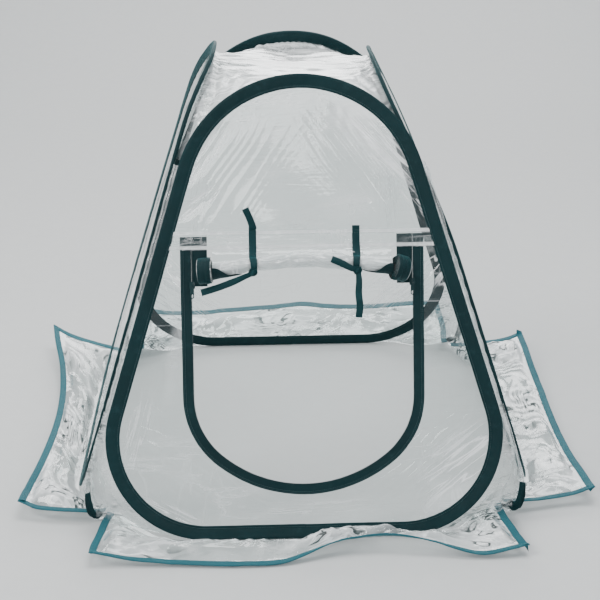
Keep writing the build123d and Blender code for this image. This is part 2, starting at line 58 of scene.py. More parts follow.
REACH = 430.0
LEAN = 0.32
SLANT = math.sqrt(1 + LEAN**2)
LEG_RUN = LEAN / SLANT
LEG_TILT = math.atan(LEG_RUN)
LEG_STRETCH = math.sqrt(1 + LEG_RUN**2)
SLACK = 9.5
SEAM_GAP = 1.2
SLEEVE = 26.0
MID = 4.3
CORNER_RADIUS = 183.0
CORNER_UP = 182.0
HEIGHT = 800.0
TOP_EDGE = 3.1
HOOP_TOP = (HEIGHT - TOP_EDGE) * SLANT
LEG_FOOT = REACH - (SEAM_GAP + SLACK / 2) * LEG_STRETCH
ARCH_RADIUS = (LEG_FOOT - LEG_RUN * HOOP_TOP) / (LEG_STRETCH - LEG_RUN)
ARCH_CENTRE = HOOP_TOP - ARCH_RADIUS
CORNER_OUT = LEG_FOOT - LEG_RUN * CORNER_UP - CORNER_RADIUS * LEG_STRETCH
LEG_LOW = CORNER_UP + CORNER_RADIUS * math.sin(LEG_TILT)
LEG_HIGH = ARCH_CENTRE + ARCH_RADIUS * math.sin(LEG_TILT)

SIDES = {"front": 0, "right": 90, "back": 180, "left": 270}
SHIFT = {"front": 0, "right": -SLACK / 2, "back": SLACK / 2, "left": 0}
HANDS = {"left": -1, "right": 1}
# The panels before and after each corner.
CORNERS = {"front_right": ("front", "right"), "back_right": ("right", "back"),
           "back_left": ("back", "left"), "front_left": ("left", "front")}

BAND = (526.0, 560.0)
BAND_MIDDLE = 543.0
DOOR_HALF = 209.0
DOOR_SIDE_FOOT = 260.0
DOOR_FOOT = 89.0
DOOR_CORNER = 151.0
ZIP_TOP = 550.0
SLIDER_UP = 463.0
ROLL_UP, ROLL_OUT = 503.7, 27.8
ZIP_END_UP, ZIP_END_OUT = 491.7, 35.8
ROLL_HALF = 159.5
ROLL_RADIUS = 13.6
ROLL_LIFT = 2.2
TIE_AT = {"left": -88.0, "right": 97.0}

SKIRT_HINGE = 438.6
SKIRT_LENGTH = 140.0
SKIRT_HALF = 374.0

WIRE_INSET, WIRE_RADIUS = 3.7, 1.5
STITCH_INSET = 22.0
FILM_INSET = 21.4
ROOF_INSET, ROOF_OUT = 22.5, 1.5
# Zip tapes, teeth and seams as offsets from the door's line.
SEWN_TAPE, SHUT_TAPE = (-10.6, 9.0), (-25.5, 2.6)
SHUT_TAPE_AT = 195.0
SEWN_TEETH, SHUT_TEETH = -10.3, -12.7
TOOTH_PITCH = 1.55
ZIP_SEAMS = (6.6, 3.6)
BAND_SEAMS = (529.0, 533.0, 553.0, 557.0)
TIE_WIDE = 13.5
ROLL_TURNS, ZIP_END_TURNS = 5.6, 5.0
CORNER_DRAWN = 74.0

# The camera that was fitted to the photograph: metres, radians, and a focal length in pixels of 600.
CAMERA_AT = (-0.0764, -2.5655, 1.3358)
CAMERA_YAW, CAMERA_PITCH, CAMERA_ROLL = -0.0316, 0.3865, -0.007
FOCAL, FRAME, SENSOR = 1362.2, 600, 36

# ---------------------------------------------------------------- arithmetic


def smooth(x, low, high):
    """0 below low, 1 above high, and a smooth step between."""
    t = np.clip((np.asarray(x, float) - low) / (high - low), 0, 1)
    return t * t * (3 - 2 * t)


def lattice(ix, iy, seed):
    """A repeatable number from -1 to 1 at each whole-numbered place."""
    n = ix.astype(np.int64) * 374761393 + iy.astype(np.int64) * 668265263 + seed * 974711
    n = (n ^ (n >> 13)) & 0x7FFFFFFF
    n = (n * 1274126177) & 0x7FFFFFFF
    n = (n ^ (n >> 16)) & 0xFFFF
    return n / 32767.5 - 1


def noise(x, y, seed=0):
    """Smooth noise from -1 to 1."""
    x, y = np.broadcast_arrays(np.asarray(x, float), np.asarray(y, float))
    ix, iy = np.floor(x), np.floor(y)
    fx, fy = x - ix, y - iy
    fx, fy = fx * fx * (3 - 2 * fx), fy * fy * (3 - 2 * fy)
    a = lattice(ix, iy, seed) * (1 - fx) + lattice(ix + 1, iy, seed) * fx
    b = lattice(ix, iy + 1, seed) * (1 - fx) + lattice(ix + 1, iy + 1, seed) * fx
    return a * (1 - fy) + b * fy


def rough(x, y, seed=0):
    """Three layers of noise, each half the size of the last."""
    return sum(noise(x * 2**k, y * 2**k, seed + 7 * k) / 2**k for k in range(3)) / 1.75


def unit(v):
    """Vectors scaled to a length of 1."""
    return v / np.linalg.norm(v, axis=-1, keepdims=True)


def square_to(v, ahead):
    """Unit vectors as near to v as they can be while square to ahead."""
    share = (v * ahead).sum(1) / (ahead * ahead).sum(1)
    return unit(v - ahead * share[:, None])


def level(v):
    """The level direction of a vector."""
    return unit(v * np.array([1, 1, 0]))


def run_along(points):
    """The length of a line of points up to each one."""
    return np.r_[0, np.cumsum(np.linalg.norm(np.diff(points, axis=0), axis=1))]


def spline(t, values, s):
    """Smooth curve through values at t, read at s."""
    slope = np.gradient(values, t, axis=0)
    k = np.clip(np.searchsorted(t, s, "right") - 1, 0, len(t) - 2)
    h = (t[k + 1] - t[k])[:, None]
    x = ((s - t[k]) / (t[k + 1] - t[k]))[:, None]
    a, b = values[k], values[k + 1]
    ma, mb = slope[k] * h, slope[k + 1] * h
    return ((2 * x**3 - 3 * x**2 + 1) * a + (x**3 - 2 * x**2 + x) * ma
            + (3 * x**2 - 2 * x**3) * b + (x**3 - x**2) * mb)


# How far the top of each hoop is drawn inwards and stands higher than the plan.
BOW = {"front": 2.0, "right": 34.0, "back": 2.0, "left": 18.0}
RAISE = {"front": 0.0, "right": 20.0, "back": 8.0, "left": 27.0}
# How far from its sewn corner lines each hoop comes to give freely; 0 where it gives all along.
GIVE = {"front": 130.0, "right": 0.0, "back": 130.0, "left": 120.0}


def freedom(side, u, v):
    """How freely a place on a hoop can give: 0 at the sewn corner lines, 1 far from them."""
    if not GIVE[side]:
        return 1.0
    return smooth((REACH - LEG_RUN * v - np.abs(u)) / LEG_STRETCH, 0, GIVE[side])


def bowed(side, u, v):
    """How far the tops of the side hoops bow inwards, pulled by the roof."""
    return -BOW[side] * smooth(v, 470, 900) ** 1.3 * 1.2 * freedom(side, u, v)


def place(side, u, v, w):
    """Points in metres from panel places in millimetres."""
    u, v, w = np.broadcast_arrays(*[np.asarray(a, float) for a in (u, v, w)])
    w = w + bowed(side, u, v)
    v = v + RAISE[side] * smooth(v, 520, 850) * freedom(side, u, v)
    x = u + SHIFT[side]
    y = -REACH + v * LEAN / SLANT - w / SLANT
    z = v / SLANT + w * LEAN / SLANT
    return turned(side, np.stack([x, y, z], -1)) / 1000


def turned(side, p):
    """Points of the front side turned round to another side."""
    a = math.radians(SIDES[side])
    c, s = round(math.cos(a)), round(math.sin(a))
    return np.stack([p[..., 0] * c - p[..., 1] * s, p[..., 0] * s + p[..., 1] * c, p[..., 2]], -1)


def hoop_line(inset, step=4.0):
    """Closed hoop outline from the middle of its foot: (u, v), inward (u, v), length."""
    low, top = CORNER_RADIUS - inset, ARCH_RADIUS - inset
    foot = CORNER_UP - low
    parts = []

    def line(a, b, inward):
        n = max(2, int(math.dist(a, b) / step))
        t = np.linspace(0, 1, n, endpoint=False)[:, None]
        points = np.array(a) * (1 - t) + np.array(b) * t
        parts.append(np.hstack([points, np.tile(inward, (n, 1))]))

    def arc(centre, radius, start, end):
        n = max(3, int(radius * abs(end - start) / step))
        t = np.linspace(start, end, n, endpoint=False)
        ray = np.stack([np.cos(t), np.sin(t)], 1)
        parts.append(np.hstack([np.array(centre) + radius * ray, -ray]))

    c, s = math.cos(LEG_TILT), math.sin(LEG_TILT)
    line((0, foot), (CORNER_OUT, foot), (0, 1))
    arc((CORNER_OUT, CORNER_UP), low, -math.pi / 2, LEG_TILT)
    line((CORNER_OUT + low * c, CORNER_UP + low * s), (top * c, ARCH_CENTRE + top * s), (-c, -s))
    arc((0, ARCH_CENTRE), top, LEG_TILT, math.pi - LEG_TILT)
    line((-top * c, ARCH_CENTRE + top * s), (-CORNER_OUT - low * c, CORNER_UP + low * s), (c, -s))
    arc((-CORNER_OUT, CORNER_UP), low, math.pi - LEG_TILT, 1.5 * math.pi)
    line((-CORNER_OUT, foot), (0, foot), (0, 1))
    rows = np.vstack(parts)
    return rows[:, :2], rows[:, 2:], run_along(np.vstack([rows, rows[:1]])[:, :2])


def door_line(offset, top, step=4.0):
    """The U of the door from the top right round to the top left: (u, v), inward, length."""
    half, corner = DOOR_HALF + offset, DOOR_CORNER + offset
    out = DOOR_HALF - DOOR_CORNER
    drop = DOOR_SIDE_FOOT - DOOR_FOOT
    bottom = (out**2 + drop**2 - DOOR_CORNER**2) / (2 * (drop - DOOR_CORNER))
    centre = DOOR_FOOT + bottom
    meet = math.atan((centre - DOOR_SIDE_FOOT) / out)
    rows = []
    n = max(2, int((top - DOOR_SIDE_FOOT) / step))
    for t in np.linspace(0, 1, n, endpoint=False):
        rows.append((half, top + (DOOR_SIDE_FOOT - top) * t, -1, 0))
    for t in np.linspace(0, -meet, int(corner * meet / step), endpoint=False):
        c, s = math.cos(t), math.sin(t)
        rows.append((out + corner * c, DOOR_SIDE_FOOT + corner * s, -c, -s))
    span = math.pi - 2 * meet
    radius = bottom + offset
    for t in np.linspace(-meet, -meet - span / 2, int(radius * span / 2 / step)):
        c, s = math.cos(t), math.sin(t)
        rows.append((radius * c, centre + radius * s, -c, -s))
    right = np.array(rows)
    left = right[-2::-1] * np.array([-1, 1, -1, 1])
    rows = np.vstack([right, left])
    return rows[:, :2], rows[:, 2:], run_along(rows[:, :2])


# ---------------------------------------------------------------- mesh making


class Build:
    """Collects grids of points into one mesh."""

    def __init__(self):
        self.points, self.faces, self.uvs, self.ends, self.count = [], [], [], [], 0

    def grid(self, p, uv=None, close_i=False, close_j=False, flip=False):
        """A grid of points p[i, j]; uv in metres, the same shape."""
        n, m = p.shape[:2]
        index = self.count + np.arange(n * m).reshape(n, m)
        i = np.arange(n if close_i else n - 1)
        j = np.arange(m if close_j else m - 1)
        ii, jj = np.meshgrid(i, j, indexing="ij")
        i2, j2 = (ii + 1) % n, (jj + 1) % m
        quads = np.stack([index[ii, jj], index[i2, jj], index[i2, j2], index[ii, j2]], -1)
        quads = quads.reshape(-1, 4)
        if flip:
            quads = quads[:, ::-1]
        if uv is None:
            uv = np.stack(np.meshgrid(np.arange(n) * 0.002, np.arange(m) * 0.002, indexing="ij"), -1)
        self.points.append(p.reshape(-1, 3))
        self.uvs.append(uv.reshape(-1, 2))
        self.faces.append(quads)
        self.count += n * m

    def solid_row(self, p, uv=None, flip=False):
        """A closed tube p[i, j] round j, with flat ends."""
        self.grid(p, uv, close_j=True, flip=flip)
        n, m = p.shape[:2]
        first = self.count - n * m + np.arange(m)
        last = self.count - m + np.arange(m)
        self.ends.append(first[::-1] if flip else first)
        self.ends.append(last if flip else last[::-1])

    def make(self, name, material):
        """The mesh object of everything collected."""
        points = np.vstack(self.points)
        faces = [tuple(int(k) for k in f) for f in np.vstack(self.faces)]
        faces += [tuple(int(k) for k in e) for e in self.ends]
        faces = [f if len(set(f)) == len(f) else tuple(dict.fromkeys(f)) for f in faces]
        mesh = bpy.data.meshes.new(name)
        mesh.from_pydata(points.tolist(), [], faces)
        layer = mesh.uv_layers.new(name="UVMap")
        uvs = np.vstack(self.uvs)
        loops = np.zeros(len(mesh.loops), np.int32)
        mesh.loops.foreach_get("vertex_index", loops)
        layer.data.foreach_set("uv", uvs[loops].astype(np.float32).ravel())
        mesh.materials.append(material)
        mesh.polygons.foreach_set("use_smooth", [True] * len(mesh.polygons))
        mesh.validate()
        mesh.update()
        piece = bpy.data.objects.new(name, mesh)
        bpy.context.scene.collection.objects.link(piece)
        return piece


def one_grid(name, material, p, uv=None, **closing):
    """A piece that is a single grid."""
    build = Build()
    build.grid(p, uv, **closing)
    return build.make(name, material)


def one_tube(name, material, p, uv):
    """A piece that is a single closed tube with flat ends."""
    build = Build()
    build.solid_row(p, uv)
    return build.make(name, material)


def panel_uv(u, v):
    """UVs in metres from panel places in millimetres."""
    return np.stack([u, v], -1) / 1000


def across_uv(lengths, widths):
    """UVs in metres from lengths along and widths across, both in millimetres."""
    a, b = np.meshgrid(np.asarray(lengths), np.asarray(widths), indexing="ij")
    return np.stack([a, b], -1) / 1000


# ---------------------------------------------------------------- materials


class Paper:
    """A material's node tree, with short ways to add nodes."""

    def __init__(self, name):
        self.material = bpy.data.materials.new(name)
        self.material.use_nodes = True
        self.tree = self.material.node_tree
        self.tree.nodes.clear()
        self.out = self.tree.nodes.new("ShaderNodeOutputMaterial")

    def node(self, kind, settings=None, **inputs):
        """A new node; inputs are named, or _0, _1 and so on by number."""
        made = self.tree.nodes.new("ShaderNode" + kind)
        for key, value in (settings or {}).items():
            setattr(made, key, value)
        for key, value in inputs.items():
            name = int(key[1:]) if key[0] == "_" else key.replace("_", " ")
            self.set(made.inputs[name], value)
        return made

    def set(self, socket, value):
        """Set an input to a value, or link it."""
        if isinstance(value, bpy.types.NodeSocket):
            self.tree.links.new(value, socket)
        elif isinstance(value, bpy.types.Node):
            self.tree.links.new(value.outputs[0], socket)
        else:
            socket.default_value = value

    def sums(self, operation, a, b=0.0, c=None):
        """A Math node."""
        extra = {} if c is None else {"_2": c}
        return self.node("Math", {"operation": operation}, _0=a, _1=b, **extra).outputs[0]

    def uv(self, scale, turn=0.0):
        """UVs in metres, times a scale, turned by an angle."""
        base = self.node("UVMap", {"uv_map": "UVMap"}).outputs[0]
        return self.node("Mapping", Vector=base, Rotation=(0, 0, turn), Scale=scale).outputs[0]

    def place(self, scale):
        """Places on the object in metres, times a scale."""
        base = self.node("TexCoord").outputs["Object"]
        return self.node("Mapping", Vector=base, Scale=(scale,) * 3).outputs[0]

    def up(self):
        """The second UV, in metres."""
        return self.node("SeparateXYZ", Vector=self.uv((1, 1, 1))).outputs[1]

    def noise(self, vector, detail=3.0, roughness=0.55, distortion=0.0):
        made = self.node(
            "TexNoise", Vector=vector, Scale=1.0, Detail=detail, Roughness=roughness,
            Distortion=distortion,
        )
        return made.outputs["Fac"]

    def times(self, a, b):
        return self.sums("MULTIPLY", a, b)

    def add_to(self, total, value, share):
        """A total plus a share of a value."""
        return self.sums("MULTIPLY_ADD", value, share, total)

    def near(self, value, at, wide, flat=0.0):
        """1 where a value is close to a level, and 0 past a width from it."""
        off = self.sums("ABSOLUTE", self.sums("SUBTRACT", value, at))
        return self.levels(off, flat, wide, 1.0, 0.0)

    def without(self, value, dark, most):
        """A value, darkened by up to a share of itself."""
        return self.times(value, self.sums("SUBTRACT", 1.0, self.sums("MINIMUM", dark, most)))

    def finish(self, shader):
        """Connect the shader and give the material."""
        self.set(self.out.inputs[0], shader)
        return self.material

    def levels(self, value, low, high, to_low=0.0, to_high=1.0):
        """A smooth step from one value to another."""
        made = self.node(
            "MapRange", {"interpolation_type": "SMOOTHSTEP"}, Value=value,
            From_Min=low, From_Max=high, To_Min=to_low, To_Max=to_high,
        )
        return made.outputs[0]

    def mix(self, factor, a, b):
        """A mix of two colours."""
        made = self.node("Mix", {"data_type": "RGBA"})
        self.set(made.inputs["Factor"], factor)
        self.set(made.inputs[6], a)
        self.set(made.inputs[7], b)
        return made.outputs[2]

    def bump(self, height, strength, distance):
        return self.node("Bump", Height=height, Strength=strength, Distance=distance).outputs[0]

    def spot(self, place_at, turn, reach):
        """UVs measured from a place, in units of a reach, and a mask that fades out from it."""
        base = self.node("UVMap", {"uv_map": "UVMap"}).outputs[0]
        local = self.node(
            "Mapping", {"vector_type": "TEXTURE"}, Vector=base, Location=(*place_at, 0),
            Rotation=(0, 0, math.radians(turn)), Scale=(*reach, 1),
        ).outputs[0]
        far = self.node("VectorMath", {"operation": "LENGTH"}, _0=local).outputs[1]
        return local, self.levels(far, 0.25, 1.0, 1.0, 0.0)

    def wave(self, vector, scale, direction, distortion=0.0):
        made = self.node(
            "TexWave", {"bands_direction": direction}, Vector=vector, Scale=scale,
            Distortion=distortion, Detail=1.0,
        )
        return made.outputs["Fac"]


def woven(name, dark, light, pitch=0.0009, sheen=0.30, rough_range=(0.42, 0.62), faded=0.35):
    """Woven tape: threads in two directions, uneven dye and worn raised threads."""
    m = Paper(name)
    uv = m.uv((1, 1, 1))
    weave = m.times(*[m.wave(uv, 0.5 / pitch, way, 0.4) for way in "XY"])
    slub = m.noise(m.uv((260, 1400, 1)), 2.0)
    broad = m.noise(m.place(9), 4.0, 0.6)
    worn = m.levels(m.noise(m.place(46), 5.0, 0.7), 0.52, 0.8, 0.0, faded)
    base = m.mix(broad, (*dark, 1), (*light, 1))
    pale = tuple(1.8 * c + 0.03 for c in light)
    base = m.mix(worn, base, (*pale, 1))
    shade = m.levels(weave, 0.0, 0.7, 0.62, 1.12)
    shaded = m.node("VectorMath", {"operation": "SCALE"})
    m.set(shaded.inputs[0], base)
    m.set(shaded.inputs["Scale"], shade)
    roughness = m.levels(m.add_to(slub, worn, 0.5), 0.3, 0.9, *rough_range)
    height = m.add_to(weave, slub, 0.6)
    shader = m.node(
        "BsdfPrincipled", Base_Color=shaded.outputs[0], Roughness=roughness,
        Sheen_Weight=sheen, Sheen_Roughness=0.32, Sheen_Tint=(0.03, 0.42, 0.46, 1), Specular_IOR_Level=0.16,
        Normal=m.bump(height, 0.55, 0.00035),
    )
    return m.finish(shader)


def film(name, haze=0.04, crease_milk_and_glare=0.35, streaks=15.0, crumple=0.4, tint=(0.93, 0.965, 0.96), shine=2.0,
         bump=0.0012, angle=0.5, fans=(), glare_patches=(), lines=(), glare_clouds=0.0, painted_contours=0.0, clear_to=0.0):
    """Clear film: mirrors the light by angle. Where creased it is mixed with a white lit surface, which is
    partly the film's real milky whitening and partly painted glare, and along some folds it has painted dark
    reflections.

    fans are (place, angle, reach, count, strength) bundles of creases, each drawn with painted glare lines,
    or painted dark lines where the strength is below 0; patches are (place, angle, reach, strength) soft
    painted glare; lines are (height, width) of white lines; clouds add broad painted glare, and contours add
    painted dark contour lines with painted glare between them."""
    m = Paper(name)
    ridges = m.noise(m.uv((streaks * 0.16, streaks, 1), angle), 4.0, 0.6, 0.7)
    other = m.noise(m.uv((streaks * 1.1, streaks * 0.2, 1), angle - 0.9), 3.0, 0.6, 0.5)
    fine = m.noise(m.uv((70, 70, 1)), 4.0, 0.6, 0.3)
    patch = m.levels(m.noise(m.uv((5.2, 5.2, 1)), 2.0), 0.44, 0.64)
    crease = m.sums("MAXIMUM", m.near(ridges, 0.5, 0.03), m.times(m.near(other, 0.5, 0.025), 0.7))
    crease = m.times(crease, m.add_to(0.1, patch, 0.9))
    # The film's own haze, plus its creases shown white: partly the film's real whitening, partly painted
    # glare.
    haze_and_glare = m.add_to(haze, crease, crease_milk_and_glare)
    haze_and_glare = m.add_to(haze_and_glare, m.levels(fine, 0.5, 0.85), 0.1 * crumple)
    height = m.add_to(ridges, fine, 0.35 * crumple)
    height = m.add_to(height, other, 0.6)
    dark = 0.0
    for place_at, turn, reach, count, strength in fans:
        local, mask = m.spot(place_at, turn, reach)
        stretched = m.node("VectorMath", {"operation": "MULTIPLY"}, _0=local, _1=(0.7, count, 1)).outputs[0]
        rib = m.noise(stretched, 2.0, 0.5, 0.25)
        # Each crease bundle gets painted glare lines, or painted dark lines where the strength is below 0.
        painted_line = m.times(m.near(rib, 0.52, 0.05), mask)
        if strength > 0:
            haze_and_glare = m.add_to(haze_and_glare, painted_line, strength)
        else:
            dark = m.add_to(dark, painted_line, -strength)
        height = m.add_to(height, m.times(rib, mask), 3.0)
    # Soft patches of painted glare.
    for place_at, turn, reach, strength in glare_patches:
        local, mask = m.spot(place_at, turn, reach)
        haze_and_glare = m.add_to(haze_and_glare, m.times(mask, m.levels(ridges, 0.3, 0.62, 0.35, 1.0)), strength)
    for at, wide in lines:
        haze_and_glare = m.add_to(haze_and_glare, m.near(m.up(), at, wide, wide * 0.5), 0.7)
    if clear_to:
        haze_and_glare = m.times(haze_and_glare, m.levels(m.up(), clear_to, clear_to * 1.6, 0.25, 1.0))
    # Broad clouds of painted glare, over matching bumps.
    if glare_clouds:
        broad = m.noise(m.uv((6, 11, 1), 0.3), 3.0, 0.55, 0.6)
        haze_and_glare = m.add_to(haze_and_glare, m.levels(broad, 0.4, 0.62), glare_clouds)
        height = m.add_to(height, broad, 2.0)
    # Painted dark contour lines, with painted glare between them, over small bumps.
    if painted_contours:
        swirl = m.noise(m.uv((7, 17, 1), 0.5), 3.0, 0.6, 1.4)
        rings = m.sums("SINE", m.times(swirl, 36.0))
        where = m.levels(m.noise(m.uv((8, 8, 1), 0.9), 3.0, 0.6, 0.8), 0.47, 0.6)
        dark = m.add_to(dark, m.levels(rings, 0.66, 0.95), m.times(where, painted_contours))
        haze_and_glare = m.add_to(haze_and_glare, m.times(m.levels(rings, -0.97, -0.6, 1.0, 0.0), where), 0.35)
        height = m.add_to(height, m.times(rings, where), 0.12)
    normal = m.bump(height, 0.6, bump)
    facing = m.node("LayerWeight", Blend=0.5, Normal=normal).outputs["Facing"]
    schlick = m.add_to(0.04 * shine, m.sums("POWER", facing, 5.0), 0.96 * shine)
    mirror = m.sums("MINIMUM", schlick, 0.85)
    through = (*tint, 1)
    # Painted dark reflections along the dark lines: less mirror, a darker see-through colour and less white.
    if dark:
        mirror = m.without(mirror, dark, 0.88)
        through = m.mix(m.sums("MINIMUM", dark, 1.0), through, (0.10, 0.15, 0.15, 1))
        haze_and_glare = m.without(haze_and_glare, dark, 0.9)
    clear = m.node("BsdfTransparent", Color=through)
    gloss = m.node("BsdfPrincipled", Base_Color=(0.96, 0.98, 0.98, 1), Metallic=1.0,
                   Roughness=0.08, Normal=normal)
    pane = m.node("MixShader", Fac=mirror, _1=clear, _2=gloss)
    white = m.node("BsdfPrincipled", Base_Color=(0.93, 0.95, 0.96, 1), Roughness=0.2, Normal=normal,
                   Specular_IOR_Level=0.8)
    whole = m.node("MixShader", Fac=m.sums("MINIMUM", haze_and_glare, 0.95), _1=pane, _2=white)
    return m.finish(whole)


def plain_metal(name, colour, roughness=0.38):
    """Metal, with paint or plating that is worn in spots."""
    m = Paper(name)
    spots = m.noise(m.place(420), 4.0)
    worn = m.levels(m.noise(m.place(130), 4.0, 0.7), 0.55, 0.75, 0, 0.5)
    base = m.mix(worn, (*colour, 1), tuple(0.5 * c + 0.16 for c in colour) + (1,))
    shader = m.node(
        "BsdfPrincipled", Base_Color=base, Metallic=0.75, Coat_Weight=0.3,
        Roughness=m.levels(spots, 0.2, 0.8, roughness - 0.1, roughness + 0.15),
        Normal=m.bump(spots, 0.25, 0.0001),
    )
    return m.finish(shader)


def thread(name, colour):
    """Twisted sewing thread."""
    m = Paper(name)
    twist = m.wave(m.place(1), 900.0, "DIAGONAL")
    base = m.mix(twist, tuple(0.6 * c for c in colour) + (1,), (*colour, 1))
    shader = m.node("BsdfPrincipled", Base_Color=base, Roughness=0.6, Sheen_Weight=0.2,
                    Normal=m.bump(twist, 0.5, 0.0001))
    return m.finish(shader)


def nylon(name, colour):
    """Moulded nylon, slightly mottled."""
    m = Paper(name)
    spots = m.noise(m.place(300), 3.0)
    base = m.mix(spots, (*colour, 1), tuple(1.5 * c for c in colour) + (1,))
    shader = m.node("BsdfPrincipled", Base_Color=base, Specular_IOR_Level=0.5,
                    Roughness=m.levels(spots, 0.2, 0.8, 0.3, 0.5), Normal=m.bump(spots, 0.2, 0.0001))
    return m.finish(shader)


SLEEVE_CLOTH = woven("sleeve_cloth", (0.0016, 0.019, 0.023), (0.0045, 0.040, 0.046), faded=0.3)
HEM_CLOTH = woven("hem_cloth", (0.016, 0.115, 0.15), (0.036, 0.19, 0.235), faded=0.15)
ZIP_CLOTH = woven("zip_cloth", (0.0016, 0.019, 0.023), (0.0042, 0.038, 0.044), 0.0007, faded=0.3)
TIE_CLOTH = woven("tie_cloth", (0.0018, 0.026, 0.031), (0.005, 0.056, 0.064), 0.0008, faded=0.3)
# Crease bundles drawn with painted glare lines, and soft patches of painted glare, on the front film above
# and below the band and on the other panels.
UPPER_FANS = (
    ((-0.165, 0.70), 56, (0.085, 0.022), 2.0, 0.8), ((-0.18, 0.612), 38, (0.06, 0.02), 2.0, 0.7),
    ((0.15, 0.70), -46, (0.10, 0.035), 3.2, 0.9), ((0.20, 0.61), 128, (0.06, 0.02), 2.2, 0.6),
)
UPPER_GLARE_PATCHES = (
    ((0.112, 0.735), -46, (0.13, 0.062), 0.6), ((0.142, 0.697), -46, (0.10, 0.010), 0.7),
    ((0.09, 0.60), 10, (0.075, 0.038), 0.35), ((-0.02, 0.79), 0, (0.12, 0.018), 0.35),
)
LOWER_FANS = (
    ((0.295, 0.125), 38, (0.125, 0.085), 5.0, 1.0), ((-0.222, 0.50), -50, (0.055, 0.075), 4.0, 0.85),
    ((0.245, 0.49), 232, (0.055, 0.07), 4.0, 0.7), ((-0.24, 0.052), -27, (0.09, 0.014), 1.6, 0.9),
    ((-0.30, 0.20), 75, (0.10, 0.03), 3.0, 0.5), ((0.02, 0.055), 3, (0.16, 0.02), 2.0, 0.45),
)
LOWER_GLARE_PATCHES = (((0.27, 0.07), 30, (0.11, 0.03), 0.4), ((-0.23, 0.34), 80, (0.12, 0.02), 0.3))
PANEL_FANS = (
    ((0.26, 0.15), 40, (0.15, 0.09), 5.0, 0.5), ((-0.25, 0.17), 138, (0.16, 0.08), 5.0, 0.45),
    ((-0.14, 0.69), 52, (0.12, 0.04), 3.0, 0.45), ((0.14, 0.70), 130, (0.12, 0.04), 3.0, 0.45),
    ((0.20, 0.42), 100, (0.16, 0.03), 3.0, 0.35), ((-0.21, 0.45), 82, (0.16, 0.03), 3.0, 0.35),
)
PANEL_GLARE_PATCHES = (((0.05, 0.70), -35, (0.16, 0.05), 0.28), ((-0.1, 0.30), 25, (0.2, 0.06), 0.14))
UPPER_FILM, LOWER_FILM = [
    film(name, 0.015, 0.3, crumple=0.25, shine=1.6, fans=fans, glare_patches=glare_patches)
    for name, fans, glare_patches in (("upper_film_clear", UPPER_FANS, UPPER_GLARE_PATCHES),
                                ("lower_film_clear", LOWER_FANS, LOWER_GLARE_PATCHES))
]
PANEL_FILM = film("panel_film_clear", 0.03, 0.22, fans=PANEL_FANS, glare_patches=PANEL_GLARE_PATCHES)
# The roof's crease bundles: the two with strength below 0 are painted dark reflections of the arch sleeves,
# and the other two are painted glare.
ROOF_FANS = (
    ((0.425, -0.315), 10, (0.06, 0.10), 9.0, -0.9), ((0.10, -0.34), 165, (0.05, 0.10), 8.0, -0.5),
    ((0.40, -0.30), 10, (0.10, 0.10), 7.0, 0.8), ((0.13, -0.33), 165, (0.10, 0.12), 7.0, 0.8),
)
ROOF_FILM = film("roof_film_clear", 0.12, 0.5, 26.0, 0.9, shine=3.2, bump=0.002, glare_clouds=0.45, fans=ROOF_FANS)
SKIRT_FILM = film("skirt_film_clear", 0.08, 0.3, 14.0, 0.6, shine=3.2, bump=0.003, angle=0.2,
                  glare_clouds=0.55, painted_contours=1.0)
CORNER_FILM = film("corner_film_clear", 0.07, 0.5, 30.0, 1.2, shine=2.6, bump=0.004, angle=0.9,
                   glare_clouds=0.2, painted_contours=0.6)
BAND_FILM = film("band_film_clear", 0.03, 0.5, 34.0, 1.0, shine=1.0, angle=0.05,
                 lines=((0.5305, 0.0042), (0.5555, 0.0042)))
SEAM_FILM = film("seam_film_clear", 0.22, 0.4, 24.0, 0.8, shine=2.6, angle=0.05)
ROLL_FILM = film("roll_film_clear", 0.36, 0.5, 26.0, 1.0, shine=3.0, bump=0.004, angle=1.5, clear_to=0.014)
SEAM_THREAD = thread("seam_thread", (0.012, 0.075, 0.085))
BAND_THREAD = thread("band_thread", (0.85, 0.88, 0.88))
COIL_NYLON = nylon("coil_nylon", (0.003, 0.020, 0.024))
ZIP_METAL = plain_metal("zip_metal", (0.008, 0.032, 0.036))
WIRE_STEEL = plain_metal("wire_steel", (0.55, 0.56, 0.58), 0.3)

# ---------------------------------------------------------------- film shape


def edge_distance(u, v):
    """Rough distance in from the hoop's outer edge."""
    au = np.abs(u)
    leg = (LEG_FOOT - LEG_RUN * v - au) / LEG_STRETCH
    arch = ARCH_RADIUS - np.hypot(au, v - ARCH_CENTRE)
    d = np.where(v > LEG_HIGH, arch, np.minimum(leg, v + 1))
    corner = CORNER_RADIUS - np.hypot(au - CORNER_OUT, v - CORNER_UP)
    in_corner = (au > CORNER_OUT) & (v < LEG_LOW)
    return np.where(in_corner, corner, d)


def creases(u, v, centre, angle, spacing, reach, seed, height):
    """A fan of parallel creases that fades away from its centre."""
    c, s = math.cos(angle), math.sin(angle)
    along = (u - centre[0]) * c + (v - centre[1]) * s
    over = -(u - centre[0]) * s + (v - centre[1]) * c
    over = over + 10 * noise(along / 90, over / 50, seed)
    fade = np.exp(-((along / reach[0]) ** 2) - (over / reach[1]) ** 2)
    ridge = 1 - np.abs(np.sin(over * math.pi / spacing + 1.7 * noise(over / 40, along / 200, seed + 3)))
    return height * (ridge**2 - 0.33) * fade


